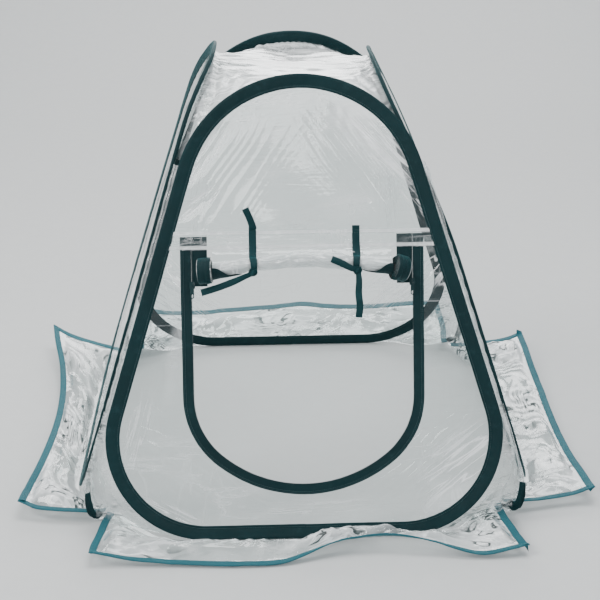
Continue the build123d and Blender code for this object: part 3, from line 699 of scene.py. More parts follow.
def film_rise(side, u, v):
    """How far the film of one panel stands out from flat, in millimetres."""
    seed = 11 * (1 + list(SIDES).index(side))
    d = edge_distance(u, v)
    rise = 4.2 * rough(u / 230, v / 260, seed)
    rise = rise + 1.6 * noise(u / 60 + v / 300, v / 150, seed + 1)
    for hand in (-1, 1):
        corner = (hand * CORNER_OUT, CORNER_UP)
        theta = np.arctan2(v - corner[1], (u - corner[0]) * hand)
        far = np.hypot(u - corner[0], v - corner[1])
        fan = np.sin(theta * 26 + 3 * noise(theta * 3, far / 60, seed + 5 + hand))
        rise = rise + 1.1 * fan * smooth(far, 40, 130) * (theta < 0.9) * np.exp(-d / 60)
        rise = rise + creases(u, v, (hand * 250, 190), hand * 0.62, 17, (150, 60), seed + 8, 2.6)
        rise = rise + creases(u, v, (hand * 130, 640), -hand * 0.95, 15, (110, 55), seed + 9, 1.6)
        rise = rise + creases(u, v, (hand * 262, 420), hand * 1.25, 13, (120, 30), seed + 10, 1.3)
    rise = rise + 1.0 * np.sin(u / 5.2 + 2 * noise(u / 50, v / 50, seed + 12)) * np.exp(-d / 30)
    return rise * smooth(d, 27, 78)


def front_rise(u, v):
    """The front film, which lies flatter beside the zip and the band."""
    rise = film_rise("front", u, v)
    near_band = 0.25 + 0.75 * smooth(np.abs(v - BAND_MIDDLE), 14, 70)
    near_zip = np.exp(-(((np.abs(u) - 203) / 26) ** 2)) * smooth(v, 215, 262) * (1 - smooth(v, 545, 575))
    return rise * near_band * (1 - 0.9 * near_zip)


# ---------------------------------------------------------------- hoops

FACE = np.array([(0.2, 2.0), (1.2, 3.1), (3.2, 3.9), (5.6, 3.8), (8.5, 3.3), (12, 2.75), (15.5, 2.3),
                 (18.3, 1.75), (20.1, 1.2), (21.5, 1.15), (23.5, 1.2), (25.2, 1.1), (25.9, 0.7)])


def sleeve(side):
    """Binding sewn round the wire, puckered where the hoop curves."""
    line, inward, length = hoop_line(0)
    seed = 3 + list(SIDES).index(side)
    n = len(line)
    s = length[:-1][:, None]
    turn = np.abs(np.cross(inward, np.roll(inward, -1, 0)))[:, None]
    curve = np.minimum(1, np.convolve(np.r_[turn[-12:, 0], turn[:, 0], turn[:12, 0]],
                                      np.ones(25) / 25, "same")[12:-12][:, None] / 0.017)
    ring_a = np.concatenate([FACE[:, 0], FACE[::-1, 0], [0.0]])
    ring_b = np.concatenate([FACE[:, 1], -FACE[::-1, 1], [0.0]])
    a = np.tile(ring_a, (n, 1))
    b = np.tile(ring_b, (n, 1))
    inner = smooth(a, 6, 18)
    top = np.sign(b)
    pucker = np.sin(s / 3.4 + 2.2 * noise(s / 40, a / 30, seed)) * curve * inner
    b = b + 0.42 * pucker * top
    b = b + 0.35 * rough(s / 70, a / 12, seed + 2) * top * (1 - smooth(a, 19, 24))
    fold = noise(s / 33, a / 9, seed + 4)
    b = b - 0.5 * smooth(fold, 0.35, 0.8) * top * (1 - smooth(a, 17, 22))
    b = b + 0.25 * noise(s / 120, 0 * a, seed + 6) * smooth(a, 15, 24)
    a = a + 0.45 * noise(s / 90, 0 * a, seed + 5) * smooth(a, 10, 25)
    wave = 0.3 * noise(s / 160, 0 * s, seed + 7)
    u = line[:, :1] + inward[:, :1] * (a + 0.15)
    v = line[:, 1:] + inward[:, 1:] * (a + 0.15)
    p = place(side, u, v, MID + np.clip(b + wave, -4.2, 4.2))
    across = np.concatenate([FACE[:, 0], 52 - FACE[::-1, 0], [52]])
    return one_grid(side + "_sleeve", SLEEVE_CLOTH, p, across_uv(length[:-1], across),
                    close_i=True, close_j=True)


def stitch_row(build, side, points, lengths, rise, pitch=4.2, long=3.0, thick=0.45):
    """Short raised stitches along a line on a panel, at a height above it."""
    if len(lengths) > len(points):
        points = np.vstack([points, points[:1]])
    pu, pv = points[:, 0], points[:, 1]
    t = np.array([0.0, 0.18, 0.5, 0.82, 1.0])
    lift = np.array([-0.35, 0.25, 0.5, 0.25, -0.35]) * thick
    ring = np.array([(-1, 0), (0, 1), (1, 0), (0, -0.6)]) * thick * 0.7
    wide = np.array([0.35, 1, 1, 1, 0.35])
    for k in range(int(lengths[-1] / pitch)):
        at = k * pitch + t * long
        u, v = np.interp(at, lengths, pu), np.interp(at, lengths, pv)
        du, dv = u[-1] - u[0], v[-1] - v[0]
        size = math.hypot(du, dv) or 1
        nu, nv = -dv / size, du / size
        uu = u[:, None] + nu * ring[None, :, 0] * wide[:, None]
        vv = v[:, None] + nv * ring[None, :, 0] * wide[:, None]
        high = rise(u, v)[:, None] + lift[:, None] + ring[None, :, 1] * wide[:, None]
        build.solid_row(place(side, uu, vv, high))


def sleeve_stitches(side):
    """The row of stitches that closes a sleeve, on its two faces."""
    build = Build()
    line, _, length = hoop_line(STITCH_INSET, 8.0)
    for face in (1, -1):
        stitch_row(build, side, line, length, lambda u, v, f=face: MID + f * 1.35 + 0 * u)
    return build.make(side + "_sleeve_stitches", SEAM_THREAD)


def wire(side):
    """The spring wire loop inside a sleeve."""
    line, inward, _ = hoop_line(WIRE_INSET, 8.0)
    t = np.linspace(0, 2 * math.pi, 9)[:-1]
    a, b = WIRE_RADIUS * np.cos(t), WIRE_RADIUS * np.sin(t)
    p = place(side, line[:, :1] + inward[:, :1] * a, line[:, 1:] + inward[:, 1:] * a, MID + b[None, :])
    return one_grid(side + "_wire", WIRE_STEEL, p, close_i=True, close_j=True)


def half_width(v, inset):
    """Half the width of the hoop at a height, inset from its outer edge."""
    low, top = CORNER_RADIUS - inset, ARCH_RADIUS - inset
    v = np.asarray(v, float)
    leg = LEG_FOOT - LEG_RUN * v - inset * LEG_STRETCH
    corner = CORNER_OUT + np.sqrt(np.clip(low**2 - (v - CORNER_UP) ** 2, 0, None))
    arch = np.sqrt(np.clip(top**2 - (v - ARCH_CENTRE) ** 2, 0, None))
    half = np.where(v < CORNER_UP + low * math.sin(LEG_TILT), corner, leg)
    return np.where(v > ARCH_CENTRE + top * math.sin(LEG_TILT), arch, half)


def film_rows(low, high, count):
    """Heights of rows that crowd towards the round top."""
    t = np.linspace(0, 1, count)
    return low + (high - low) * (1 - (1 - t) ** 1.35)


def arch_film(name, material, side, low, rows, rise):
    """Film across a hoop, from a height up to the top of its arch."""
    v = film_rows(low, ARCH_CENTRE + ARCH_RADIUS - FILM_INSET, rows)
    half = half_width(v, FILM_INSET)
    t = np.linspace(-1, 1, 150)
    u = half[:, None] * t
    vv = np.repeat(v[:, None], len(t), 1)
    piece = one_grid(name, material, place(side, u, vv, rise(u, vv)), panel_uv(u, vv))
    return piece


def whole_film(side):
    """Film that fills a whole hoop."""
    return arch_film(side + "_film", PANEL_FILM, side, CORNER_UP - CORNER_RADIUS + FILM_INSET, 190,
                     lambda u, v: MID + film_rise(side, u, v))


def upper_film():
    """Front film above the band."""
    return arch_film("front_film_upper", UPPER_FILM, "front", BAND_MIDDLE + 8, 110,
                     lambda u, v: MID + 0.2 + front_rise(u, v))


def polar(points, centre, angles):
    """Distance from a centre to an outline at each angle."""
    d = points - np.array(centre)
    a = np.unwrap(np.arctan2(d[:, 1], d[:, 0]))
    r = np.hypot(d[:, 0], d[:, 1])
    if a[-1] < a[0]:
        a, r = a[::-1], r[::-1]
    shift = round((angles.mean() - (a[0] + a[-1]) / 2) / (2 * math.pi)) * 2 * math.pi
    return np.interp(angles, a + shift, r)


def lower_film():
    """Front film round the door opening."""
    centre = (0.0, BAND_MIDDLE)
    door, _, _ = door_line(0, BAND_MIDDLE + 1, 3.0)
    line, _, _ = hoop_line(FILM_INSET, 3.0)
    below = line[line[:, 1] < BAND_MIDDLE + 12]
    turn = np.arctan2(below[:, 1] - centre[1], below[:, 0])
    turn = np.where(turn > 0.5, turn - 2 * math.pi, turn)
    below = below[np.argsort(turn)]
    angles = np.linspace(-math.pi, 0, 420)
    inner = polar(door[::-1], centre, angles)
    outer = polar(below, centre, angles)
    t = np.linspace(0, 1, 60)
    r = inner[:, None] + (outer - inner)[:, None] * t
    u = r * np.cos(angles)[:, None]
    v = centre[1] + r * np.sin(angles)[:, None]
    p = place("front", u, v, MID + front_rise(u, v))
    piece = one_grid("front_film_lower", LOWER_FILM, p, panel_uv(u, v))
    return piece


# ---------------------------------------------------------------- band and zip

ZIP_LAYER = MID + 0.9


def ribbon(name, line, inward, length, low, high, rise, folds=0.0):
    """A flat tape along a line of the front, from low to high across it, with rounded edges."""
    cross = [(0, 0), (0.04, 0.5), (0.12, 0.55), (0.3, 0.42), (0.5, 0.4), (0.7, 0.42), (0.88, 0.55),
             (0.96, 0.5), (1, 0), (0.96, -0.5), (0.5, -0.5), (0.04, -0.5)]
    cross = np.array(cross)
    off = low + (high - low) * cross[:, 0]
    s = length[:, None]
    off = np.tile(off, (len(line), 1)) + 0.35 * noise(s / 50, 0 * s, 5)
    u = line[:, :1] - inward[:, :1] * off
    v = line[:, 1:] - inward[:, 1:] * off
    w = rise(u, v) + cross[:, 1] * 0.8 + folds * noise(s / 18, off / 12, 8)
    across = np.r_[0, np.cumsum(np.abs(np.diff(cross[:, 0])) * (high - low))]
    return one_tube(name, ZIP_CLOTH, place("front", u, v, w), across_uv(length, across))


def zip_rise(u, v):
    """Height of the middle of the zip tape over the front panel."""
    return ZIP_LAYER + front_rise(u, v)


def fixed_zip():
    """Zip tape that stays sewn round the door opening."""
    return ribbon("zip_tape_sewn", *door_line(0, ZIP_TOP), *SEWN_TAPE, zip_rise)


def closed_zip(hand):
    """The short length of door-side tape above a slider, where the zip is still closed."""
    sign = HANDS[hand]
    v = np.linspace(ZIP_TOP, SLIDER_UP - 2, 16)
    line = np.stack([np.full(16, SHUT_TAPE_AT * sign), v], 1)
    inward = np.tile([-sign, 0.0], (16, 1))
    return ribbon("zip_tape_shut_" + hand, line, inward, ZIP_TOP - v, *SHUT_TAPE,
                  lambda a, b: zip_rise(a, b) - 0.5, folds=0.4)


def teeth(name, offset, top, foot=None, hand=None, phase=0.0):
    """Moulded coil: a row of small loops across the tape's edge."""
    line, _, length = door_line(offset, top)
    if hand:
        v = np.linspace(top, foot, 40)
        line = np.stack([np.full(40, (DOOR_HALF + offset) * HANDS[hand]), v], 1)
        length = top - v
    build = Build()
    t = np.linspace(0, 2 * math.pi, 7)[:-1]
    across = np.array([-1.15, -0.8, 0.0, 0.8, 1.15])
    wide = np.array([0.25, 0.9, 1.0, 0.9, 0.25])
    along = wide[:, None] * 0.52 * np.cos(t)
    up = wide[:, None] * np.sin(t)
    for k in np.arange(0.4 + phase, length[-1] - 0.4, TOOTH_PITCH):
        (u, du), (v, dv) = [(q[1], q[2] - q[0]) for q in
                            (np.interp([k - 0.3, k, k + 0.3], length, line[:, i]) for i in (0, 1))]
        size = math.hypot(du, dv) or 1
        du, dv = du / size, dv / size
        uu = u - dv * across[:, None] + du * along
        vv = v + du * across[:, None] + dv * along
        build.solid_row(place("front", uu, vv, zip_rise(u, v) + up))
    return build.make(name, COIL_NYLON)


def zip_stitches():
    """Two rows of stitches that hold the fixed zip tape."""
    build = Build()
    for offset in ZIP_SEAMS:
        line, _, length = door_line(offset, ZIP_TOP, 8.0)
        stitch_row(build, "front", line, length, lambda u, v: zip_rise(u, v) + 0.42, 4.0, 2.9)
    return build.make("zip_stitches", SEAM_THREAD)


def band():
    """Doubled strip of film under the upper film's edge, sewn along both edges."""
    v = np.linspace(BAND[0], BAND[1], 18)
    half = half_width(v, SLEEVE - 1.5)
    t = np.linspace(-1, 1, 180)
    u = half[:, None] * t
    vv = np.repeat(v[:, None], len(t), 1)
    pucker = 0.35 * np.sin(u / 3.1 + 2 * noise(u / 30, vv / 9, 4))
    edge = np.exp(-((vv - BAND[0]) / 6) ** 2) + np.exp(-((vv - BAND[1]) / 6) ** 2)
    w = MID + 2.3 + front_rise(u, vv) + pucker * edge + 0.6 * rough(u / 40, vv / 18, 6)
    piece = one_grid("front_band_film", BAND_FILM, place("front", u, vv, w), panel_uv(u, vv))
    return piece


def band_stitches():
    """Double rows of stitches along the band's two edges."""
    build = Build()
    for v in BAND_SEAMS:
        half = float(half_width(v, SLEEVE))
        u = np.linspace(-half, half, 120)
        line = np.stack([u, np.full(120, v) + 0.5 * np.sin(u / 37)], 1)
        stitch_row(build, "front", line, u - u[0], lambda a, b: MID + 2.7 + front_rise(a, b),
                   4.4, 3.2, 0.62)
    return build.make("band_stitches", BAND_THREAD)


# ---------------------------------------------------------------- rolled door


def roll_drop(u):
    """How much lower the roll hangs towards its ends."""
    u = np.asarray(u, float)
    return 13.0 * (np.abs(u) / 160) ** 1.9 - 1.0 * np.cos(u / 30) + np.where(u < 0, 4.0, 0) * (u / 160) ** 2


def roll_nip(u):
    """How far the ties squeeze the roll."""
    return 1 - 0.3 * (np.exp(-(((u + 88) / 15) ** 2)) + np.exp(-(((u - 96) / 15) ** 2)))


def door_roll():
    """The door film rolled up loosely, and its free length up to the band."""
    u = np.linspace(-ROLL_HALF, ROLL_HALF, 150)[:, None]
    start = math.radians(118)
    t = np.linspace(0, 1, 200)[None, :]
    angle = start - t * ROLL_TURNS * 2 * math.pi
    radius = ROLL_RADIUS - 9.5 * t
    fold = rough(u / 60, angle * 1.6, 21) * 1.8 * (1 - 0.5 * t)
    fold = fold + 1.1 * np.sin(angle * 5 + 6 * noise(u / 60, t * 3, 23)) * (1 - t)
    fold = fold + 0.9 * np.sin(u / 4.0 + angle * 2) * np.exp(-(((np.abs(u) - 92) / 26) ** 2))
    reach = (radius + fold) * roll_nip(u)
    up = ROLL_UP - roll_drop(u) + reach * np.sin(angle)
    out = ROLL_OUT + reach * np.cos(angle) * 0.94
    free = np.linspace(0, 1, 9)[None, :-1]
    up = up + ROLL_LIFT
    top_up, top_out = up[:, :1], out[:, :1]
    seam_up, seam_out = 525.0 + 0 * u, 6.4 + 0.8 * noise(u / 22, 0 * u, 31)
    free_up = seam_up + (top_up - seam_up) * free + 3.4 * np.sin(free * math.pi)
    free_out = seam_out + (top_out - seam_out) * free + 1.2 * noise(u / 14, free * 2, 33) * free
    up, out = np.hstack([free_up, up]), np.hstack([free_out, out])
    uu = np.repeat(u, up.shape[1], 1) + 1.5 * noise(u / 30, np.arange(up.shape[1])[None] / 40, 35)
    steps = np.hypot(np.diff(up[75]), np.diff(out[75]))
    piece = one_grid("door_roll", ROLL_FILM, place("front", uu, up, out),
                     across_uv(u[:, 0], np.r_[0, np.cumsum(steps)]))
    return piece


def tilt_end(hand, u, up, out):
    """The rolled ends droop: each is turned a little about its own middle."""
    sign = HANDS[hand]
    lean, swing = {"left": (4, 6), "right": (-14, 20)}[hand]
    a, b = math.radians(lean), math.radians(swing * sign)
    x, y, z = u - sign * (ROLL_HALF + 14), up - ZIP_END_UP, out - ZIP_END_OUT
    x, y = x * math.cos(a) - y * math.sin(a), x * math.sin(a) + y * math.cos(a)
    x, z = x * math.cos(b) + z * math.sin(b), -x * math.sin(b) + z * math.cos(b)
    drop = {"left": 2.0, "right": 3.0}[hand]
    return x * 0.96 + sign * (ROLL_HALF + 13), y + ZIP_END_UP - drop, z + ZIP_END_OUT


def zip_end(hand):
    """Door-side zip tape coiled at the end of the roll, with film between its turns."""
    sign = HANDS[hand]
    cloth = Build()
    t = np.linspace(0, 1, 230)
    angle = math.radians(100) - t * ZIP_END_TURNS * 2 * math.pi
    radius = 23.6 - 16.5 * t + 0.4 * noise(t * 40, 0 * t, 3)
    low, high = ROLL_HALF + 1.0, ROLL_HALF + 27.5
    cross = np.array([(0, 0), (0.03, 0.6), (0.14, 0.5), (0.2, 1.25), (0.3, 1.35), (0.36, 0.5),
                      (0.52, 0.45), (0.56, 0.8), (0.62, 0.45), (0.97, 0.6), (1, 0), (0.97, -0.4),
                      (0.5, -0.4), (0.03, -0.4)])
    length = np.r_[0, np.cumsum(np.abs(np.diff(angle)) * radius[1:])]

    def wound(u, r):
        """Points at a distance along the roll and a radius, on the coil."""
        up = ZIP_END_UP + r * np.sin(angle)[:, None]
        out = ZIP_END_OUT + r * np.cos(angle)[:, None]
        return place("front", *tilt_end(hand, sign * u, up, out))

    wobble = 1.3 * noise(t * 9, 0 * t, 13 + sign)[:, None]
    uu = low + 1.5 + (high - low - 3) * cross[None, :, 0] + wobble
    p = wound(uu, radius[:, None] + cross[None, :, 1])
    cloth.solid_row(p, across_uv(length, np.linspace(0, 50, 14)), flip=sign > 0)
    band_t = np.linspace(0, 1, 10)
    rr = radius[:, None] - 1.6 + 0.25 * noise(t[:, None] * 60, band_t[None] * 4, 17)
    uu = low + (high - low) * band_t[None, :] * (0.98 + 0 * rr)
    tape = cloth.make("rolled_tape_" + hand, ZIP_CLOTH)
    between = one_grid("rolled_tape_film_" + hand, ROLL_FILM, wound(uu, rr), across_uv(length, band_t * 27))
    return tape, between


def rolled_tape(hand):
    """The dark tape that winds into the end of the roll, seen round its lower side."""
    sign = HANDS[hand]
    t = np.linspace(0, 1, 44)[:, None]
    s = np.linspace(0, 1, 12)[None, :]
    u = sign * (ROLL_HALF + 1 - 58 * t)
    low, high = -150, 20 - 150 * t**1.3
    degrees = low + (high - low) * s + 6 * np.sin(t * 9)
    r = (16.4 - 1.6 * t + 0.5 * noise(t * 9, s * 3, 61)) * roll_nip(u) + 0 * s
    a = np.radians(degrees)
    up = ROLL_UP + ROLL_LIFT - roll_drop(u) + r * np.sin(a)
    p = place("front", u + 0 * s, up, ROLL_OUT + r * np.cos(a) * 0.94)
    piece = one_grid("rolled_tape_neck_" + hand, ZIP_CLOTH, p, across_uv(58 * t[:, 0], 40 * s[0]))
    return piece


def strap(build, path, widths, thick=1.0, samples=60, seed=0):
    """A flat tape along a smooth path of (u, v, w) places, each with its across direction."""
    path = np.array(path, float)
    t = run_along(path[:, :3])
    s = np.linspace(0, t[-1], samples)
    points = spline(t, path[:, :3], s)
    ahead = unit(np.gradient(points, axis=0))
    wide = square_to(spline(t, path[:, 3:6], s), ahead)
    out = np.cross(ahead, wide)
    half = np.interp(s, t, widths) / 2
    cross = np.array([(-1, 0), (-0.94, 0.5), (-0.5, 0.4), (0, 0.36), (0.5, 0.4), (0.94, 0.5), (1, 0),
                      (0.94, -0.5), (0, -0.5), (-0.94, -0.5)])
    curl = 0.8 * noise(s / 22, 0 * s, seed)
    p = (points[:, None, :] + wide[:, None, :] * cross[None, :, :1] * half[:, None, None]
         + out[:, None, :] * (cross[None, :, 1:] * thick + (cross[None, :, :1] ** 2) * curl[:, None, None]))
    build.solid_row(place("front", *np.moveaxis(p, -1, 0)), across_uv(s, np.linspace(0, 2 * half.max(), 10)))


def round_roll(u, degrees, gap):
    """A place just outside the roll at one angle round it; 0 is outwards, 90 is up."""
    a = math.radians(degrees)
    r = 14.6 * float(roll_nip(u)) + gap
    return ROLL_UP + ROLL_LIFT - float(roll_drop(u)) + r * math.sin(a), ROLL_OUT + r * math.cos(a)


# Each tie's loose ends: where they start, samples, seed, widths, and the places along them from
# that start (or from the panel's foot, for one that starts at the band) with their across direction.
TAILS = {
    "left": (
        ("knot", 60, 7, [9, 10, 12, 12.5, 12.5],
         [(1, -1, 2, 0.2, 1, 0), (-14, -7, 7, 0.3, 1, 0.1), (-38, -17, 9, 0.42, 1, 0),
          (-66, -27, 4, 0.5, 1, -0.1), (-92, -35, -3, 0.45, 1, 0)]),
        ("band", 30, 8, [13, 13, 12.5, 12.5],
         [(2, 562, 8.4, 1, 0, 0), (-1, 572, 14, 1, 0.1, 0.1), (-6, 585, 20, 1, 0.3, 0.2),
          (-12, 599, 23, 1, 0.35, 0.1)]),
    ),
    "right": (
        ("knot", 40, 9, [9, 11, 12.5, 12.5],
         [(-1, 0, 2.5, 0.2, 1, 0), (-13, 5, 9, 0.2, 1, 0), (-28, 13, 10, 0.35, 1, 0.1),
          (-46, 21, 6, 0.4, 1, 0.2)]),
        ("knot", 60, 10, [9, 11, 12.5, 12.5, 12.5],
         [(1, -2, 2, 1, 0.1, 0), (2, -16, 6, 1, 0.1, 0.1), (1, -40, 6.5, 1, 0, 0.2),
          (3, -66, 3, 1, 0.05, 0.1), (1, -84, 1, 1, 0, 0)]),
    ),
}


def ties(hand):
    """Two straps sewn to the band, knotted round the roll, with loose tails."""
    sign = HANDS[hand]
    mid = TIE_AT[hand]
    build = Build()
    over = (1.0, 0.0, 0.0)
    front = [(mid, 566.0, 7.2, *over), (mid, 548.0, 7.6, *over), (mid, 532.0, 9.0, *over)]
    for k, degrees in enumerate((100, 72, 44, 16, -12, -38, -56)):
        up, out = round_roll(mid, degrees, 2.4)
        lean = -0.22 * sign * k / 6
        front.append((mid + lean * 14, up, out, 1.0, lean * 0.4, 0.0))
    strap(build, front, [TIE_WIDE] * 4 + [13, 12.5, 12, 11.5, 10.5, 9.5], seed=2)
    back = [(mid, 558.0, 1.6, *over), (mid, 540.0, 1.4, *over), (mid, 522.0, 2.2, *over)]
    for degrees in (168, 195, 225, 255, 282, 300):
        up, out = round_roll(mid, degrees, 2.6)
        back.append((mid, up, out, *over))
    strap(build, back, [TIE_WIDE] * 4 + [13, 12.5, 12, 11, 9.5], seed=3)
    knot_up, knot_out = round_roll(mid, -52, 6.0)
    loop = []
    for a in np.linspace(0, 2 * math.pi * 1.55, 15):
        c, d = math.cos(a), math.sin(a)
        loop.append((mid + 5.8 * c, knot_up + 4.6 * d, knot_out + 2.2 * math.sin(a * 0.5 + 1),
                     0.5 * c, 0.5 * d, 1.0))
    strap(build, loop, [7.5] * 15, 1.1, 90, seed=5)
    band = [(mid - 6.5, knot_up - 4, knot_out + 1.0, 0.25, 1, 0.1),
            (mid - 2.5, knot_up - 0.5, knot_out + 4.6, 0.3, 1, 0),
            (mid + 2.5, knot_up + 1.0, knot_out + 4.6, 0.25, 1, 0),
            (mid + 6.5, knot_up + 2.0, knot_out + 0.5, 0.2, 1, -0.1)]
    strap(build, band, [9, 8, 8, 9], 1.1, 24, seed=6)
    straps = build.make("tie_straps_" + hand, TIE_CLOTH)
    tails = Build()
    for start, samples, seed, widths, path in TAILS[hand]:
        base = (mid, knot_up, knot_out) if start == "knot" else (mid, 0, 0)
        strap(tails, np.array(path) + [*base, 0, 0, 0], widths, samples=samples, seed=seed)
    loose = tails.make("tie_tails_" + hand, TIE_CLOTH)
    return straps, loose


# ---------------------------------------------------------------- roof


def arch_place(side, angle):
    """A place on the inner face of a hoop's arch at an angle from across."""
    r = ARCH_RADIUS - ROOF_INSET
    return place(side, r * np.cos(angle), ARCH_CENTRE + r * np.sin(angle), ROOF_OUT)


def apart(p, q):
    """How far each point of p is from the nearest point of q."""
    return np.stack([np.linalg.norm(p - point, axis=-1) for point in q]).min(0)


def normals_of(p):
    """Unit normals of a grid of points."""
    n = np.cross(np.gradient(p, axis=0), np.gradient(p, axis=1))
    size = np.linalg.norm(n, axis=-1, keepdims=True)
    return n / np.where(size < 1e-12, 1, size)


def roof_part(corner):
    """A quarter of the roof: the fan over one corner and its share of the middle."""
    before, after = CORNERS[corner]
    seed = 41 + list(CORNERS).index(corner)
    first = LEG_TILT + math.radians(3)
    t = np.linspace(0, 1, 130)
    s = np.linspace(0, 1, 64)
    near = arch_place(before, first + (math.pi / 2 - first) * t)
    far = arch_place(after, math.pi - first - (math.pi / 2 - first) * t)
    p = near[:, None] * (1 - s[None, :, None]) + far[:, None] * s[None, :, None]
    more = np.linspace(0, 1, 40)[1:]
    tops = np.array([arch_place(side, math.pi / 2) for side in SIDES])
    middle = tops.mean(0)
    rest = p[-1][None] * (1 - more[:, None, None]) + middle * more[:, None, None]
    p = np.concatenate([p, rest])
    tt = np.concatenate([t, 1 + more])[:, None]
    ss = s[None, :]
    hoops = np.concatenate([near[::6], far[::6]])
    edge = apart(p, hoops) * 1000
    n = normals_of(p)
    if n[60, 32, 2] < 0:
        n = -n
    gather = np.sin(tt * 70 + 3.0 * noise(tt * 9, ss * 2, seed)) * np.exp(-edge / 20)
    gather = gather * (0.3 + 0.7 * smooth(noise(tt * 5, ss * 0 + 3.3, seed + 2), -0.3, 0.4))
    fan = 5.0 * gather + 3.6 * rough(tt * 3, ss * 3, seed + 3) + 1.4 * noise(tt * 12, ss * 6, seed + 4)
    fan = fan + 1.8 * np.sin(ss * 26 + tt * 9 + 2 * noise(tt * 4, ss * 4, seed + 5)) * smooth(tt, 0.3, 0.9)
    fan = fan - 8.0 * (4 * ss * (1 - ss)) * smooth(tt, 0, 0.6)
    x, y = p[..., 0] * 1000, p[..., 1] * 1000
    pull = np.sin(y / 6.5 + 1.5 * noise(x / 90, y / 30, 91)) * smooth(np.abs(x), 40, 150)
    flat = -6.0 + 3.0 * rough(x / 90, y / 60, 92) + 1.3 * pull + 0.8 * noise(x / 30, y / 12, 93)
    over = smooth(tt, 0.75, 1.0)
    fade = smooth(edge, 0, 16)[..., None]
    p = p + n * (fan * (1 - over))[..., None] * fade / 1000
    p[..., 2] += flat * over * fade[..., 0] / 1000
    uv = np.stack([p[..., 0] + 0.35 * p[..., 2], p[..., 1] - 0.35 * p[..., 2]], -1)
    return one_grid("roof_film_" + corner, ROOF_FILM, p, uv)


# ---------------------------------------------------------------- corners


def corner_line(v):
    """The place where two panels meet at a corner, given up a panel, for the front right."""
    return REACH - LEG_RUN * v


def corner_inset(u):
    """How far the foot of the corner film is drawn in from the hinge line."""
    return CORNER_DRAWN * smooth(np.abs(u), 210, 374) ** 1.2


def corner_film(corner):
    """Slack film that fills the corner outside the two rounded hoop corners."""
    before, after = CORNERS[corner]
    seed = 81 + 5 * list(CORNERS).index(corner)
    t = np.linspace(0, 1, 90)
    angle = math.radians(-84) + (LEG_TILT + math.radians(84)) * t
    r = CORNER_RADIUS + 0.9
    near = place(before, CORNER_OUT + r * np.cos(angle), CORNER_UP + r * np.sin(angle), MID - 0.5)
    far = place(after, -CORNER_OUT - r * np.cos(angle), CORNER_UP + r * np.sin(angle), MID - 0.5)
    v = CORNER_UP + r * np.sin(angle)
    over = corner_line(v) + MID / SLANT - SHIFT[before]
    ridge = place(before, over, v, MID)
    drawn = (0.40 + 0.25 * np.sin(t * math.pi))[:, None]
    ridge = ridge * (1 - drawn) + (near + far) / 2 * drawn
    ridge[:, 2] += 0.026 * (1 - t) ** 3
    s = np.linspace(0, 1, 34)
    one = near[:, None] + (ridge - near)[:, None] * s[None, :, None]
    two = ridge[:, None] + (far - ridge)[:, None] * s[None, 1:, None]
    p = np.concatenate([one, two], 1)
    ss = np.concatenate([s, 1 + s[1:]])[None, :] / 2
    tt = t[:, None]
    soft = np.sin(ss * math.pi)
    away = level(np.mean(near + far, 0))
    room = smooth(1 - tt, 0.02, 0.3) * soft
    rise = 9.0 * rough(tt * 5, ss * 6, seed) + 5.0 * np.abs(noise(tt * 11, ss * 13, seed + 2))
    rise = rise + 3.0 * np.sin(ss * 44 + tt * 12 + 4 * noise(tt * 5, ss * 5, seed + 1))
    p = p + away * (np.minimum(rise, 9) * room)[..., None] / 1000
    p[..., 2] = np.maximum(p[..., 2] + 0.004 * soft * noise(tt * 9, ss * 12, seed + 4), 0.0012)
    uv = np.stack([p[..., 0] - p[..., 1], p[..., 2]], -1)
    film_piece = one_grid("corner_film_" + corner, CORNER_FILM, p, uv)
    return film_piece, corner_loop(corner, p[0, 33], seed)


def corner_loop(corner, foot, seed):
    """Tape that joins the hems of two neighbouring flaps in a loop over the corner."""
    before, after = CORNERS[corner]
    a = flap_place(before, np.array(1.0), np.array(0.10))
    b = flap_place(after, np.array(0.0), np.array(0.10))
    away = level(foot)
    high = {"front_left": 0.052, "front_right": 0.060}.get(corner, 0.045)
    top = foot + away * 0.009 + np.array([0, 0, high])
    near = foot * 0.5 + away * 0.010 + np.array([0, 0, 0.003])
    span = (b - a) * 0.16
    knots = np.array([a, a * 0.5 + near, top - span * 0.9 - [0, 0, high * 0.35], top,
                      top + span - [0, 0, high * 0.4], b * 0.5 + near, b])
    run = run_along(knots)
    line = spline(run, knots, np.linspace(0, run[-1], 70))
    ahead = unit(np.gradient(line, axis=0))
    wide = square_to(np.tile(away + np.array([0, 0, 0.25]), (len(line), 1)), ahead)
    up = np.cross(ahead, wide)
    length = np.linspace(0, run[-1], len(line)) * 1000
    half = 6.2 + 0.7 * noise(length / 18, 0 * length, seed)
    cross = [(-1, 0), (-0.94, 0.5), (0, 0.35), (0.94, 0.5), (1, 0), (0.94, -0.5), (0, -0.35), (-0.94, -0.5)]
    rows = [line + wide * (half * x)[:, None] / 1000 + up * y / 1000 for x, y in cross]
    p = np.stack(rows, 1)
    p[..., 2] = np.maximum(p[..., 2], 0.0005)
    piece = one_tube("corner_loop_" + corner, SLEEVE_CLOTH, p, across_uv(length, np.linspace(0, 26, 8)))
    return piece


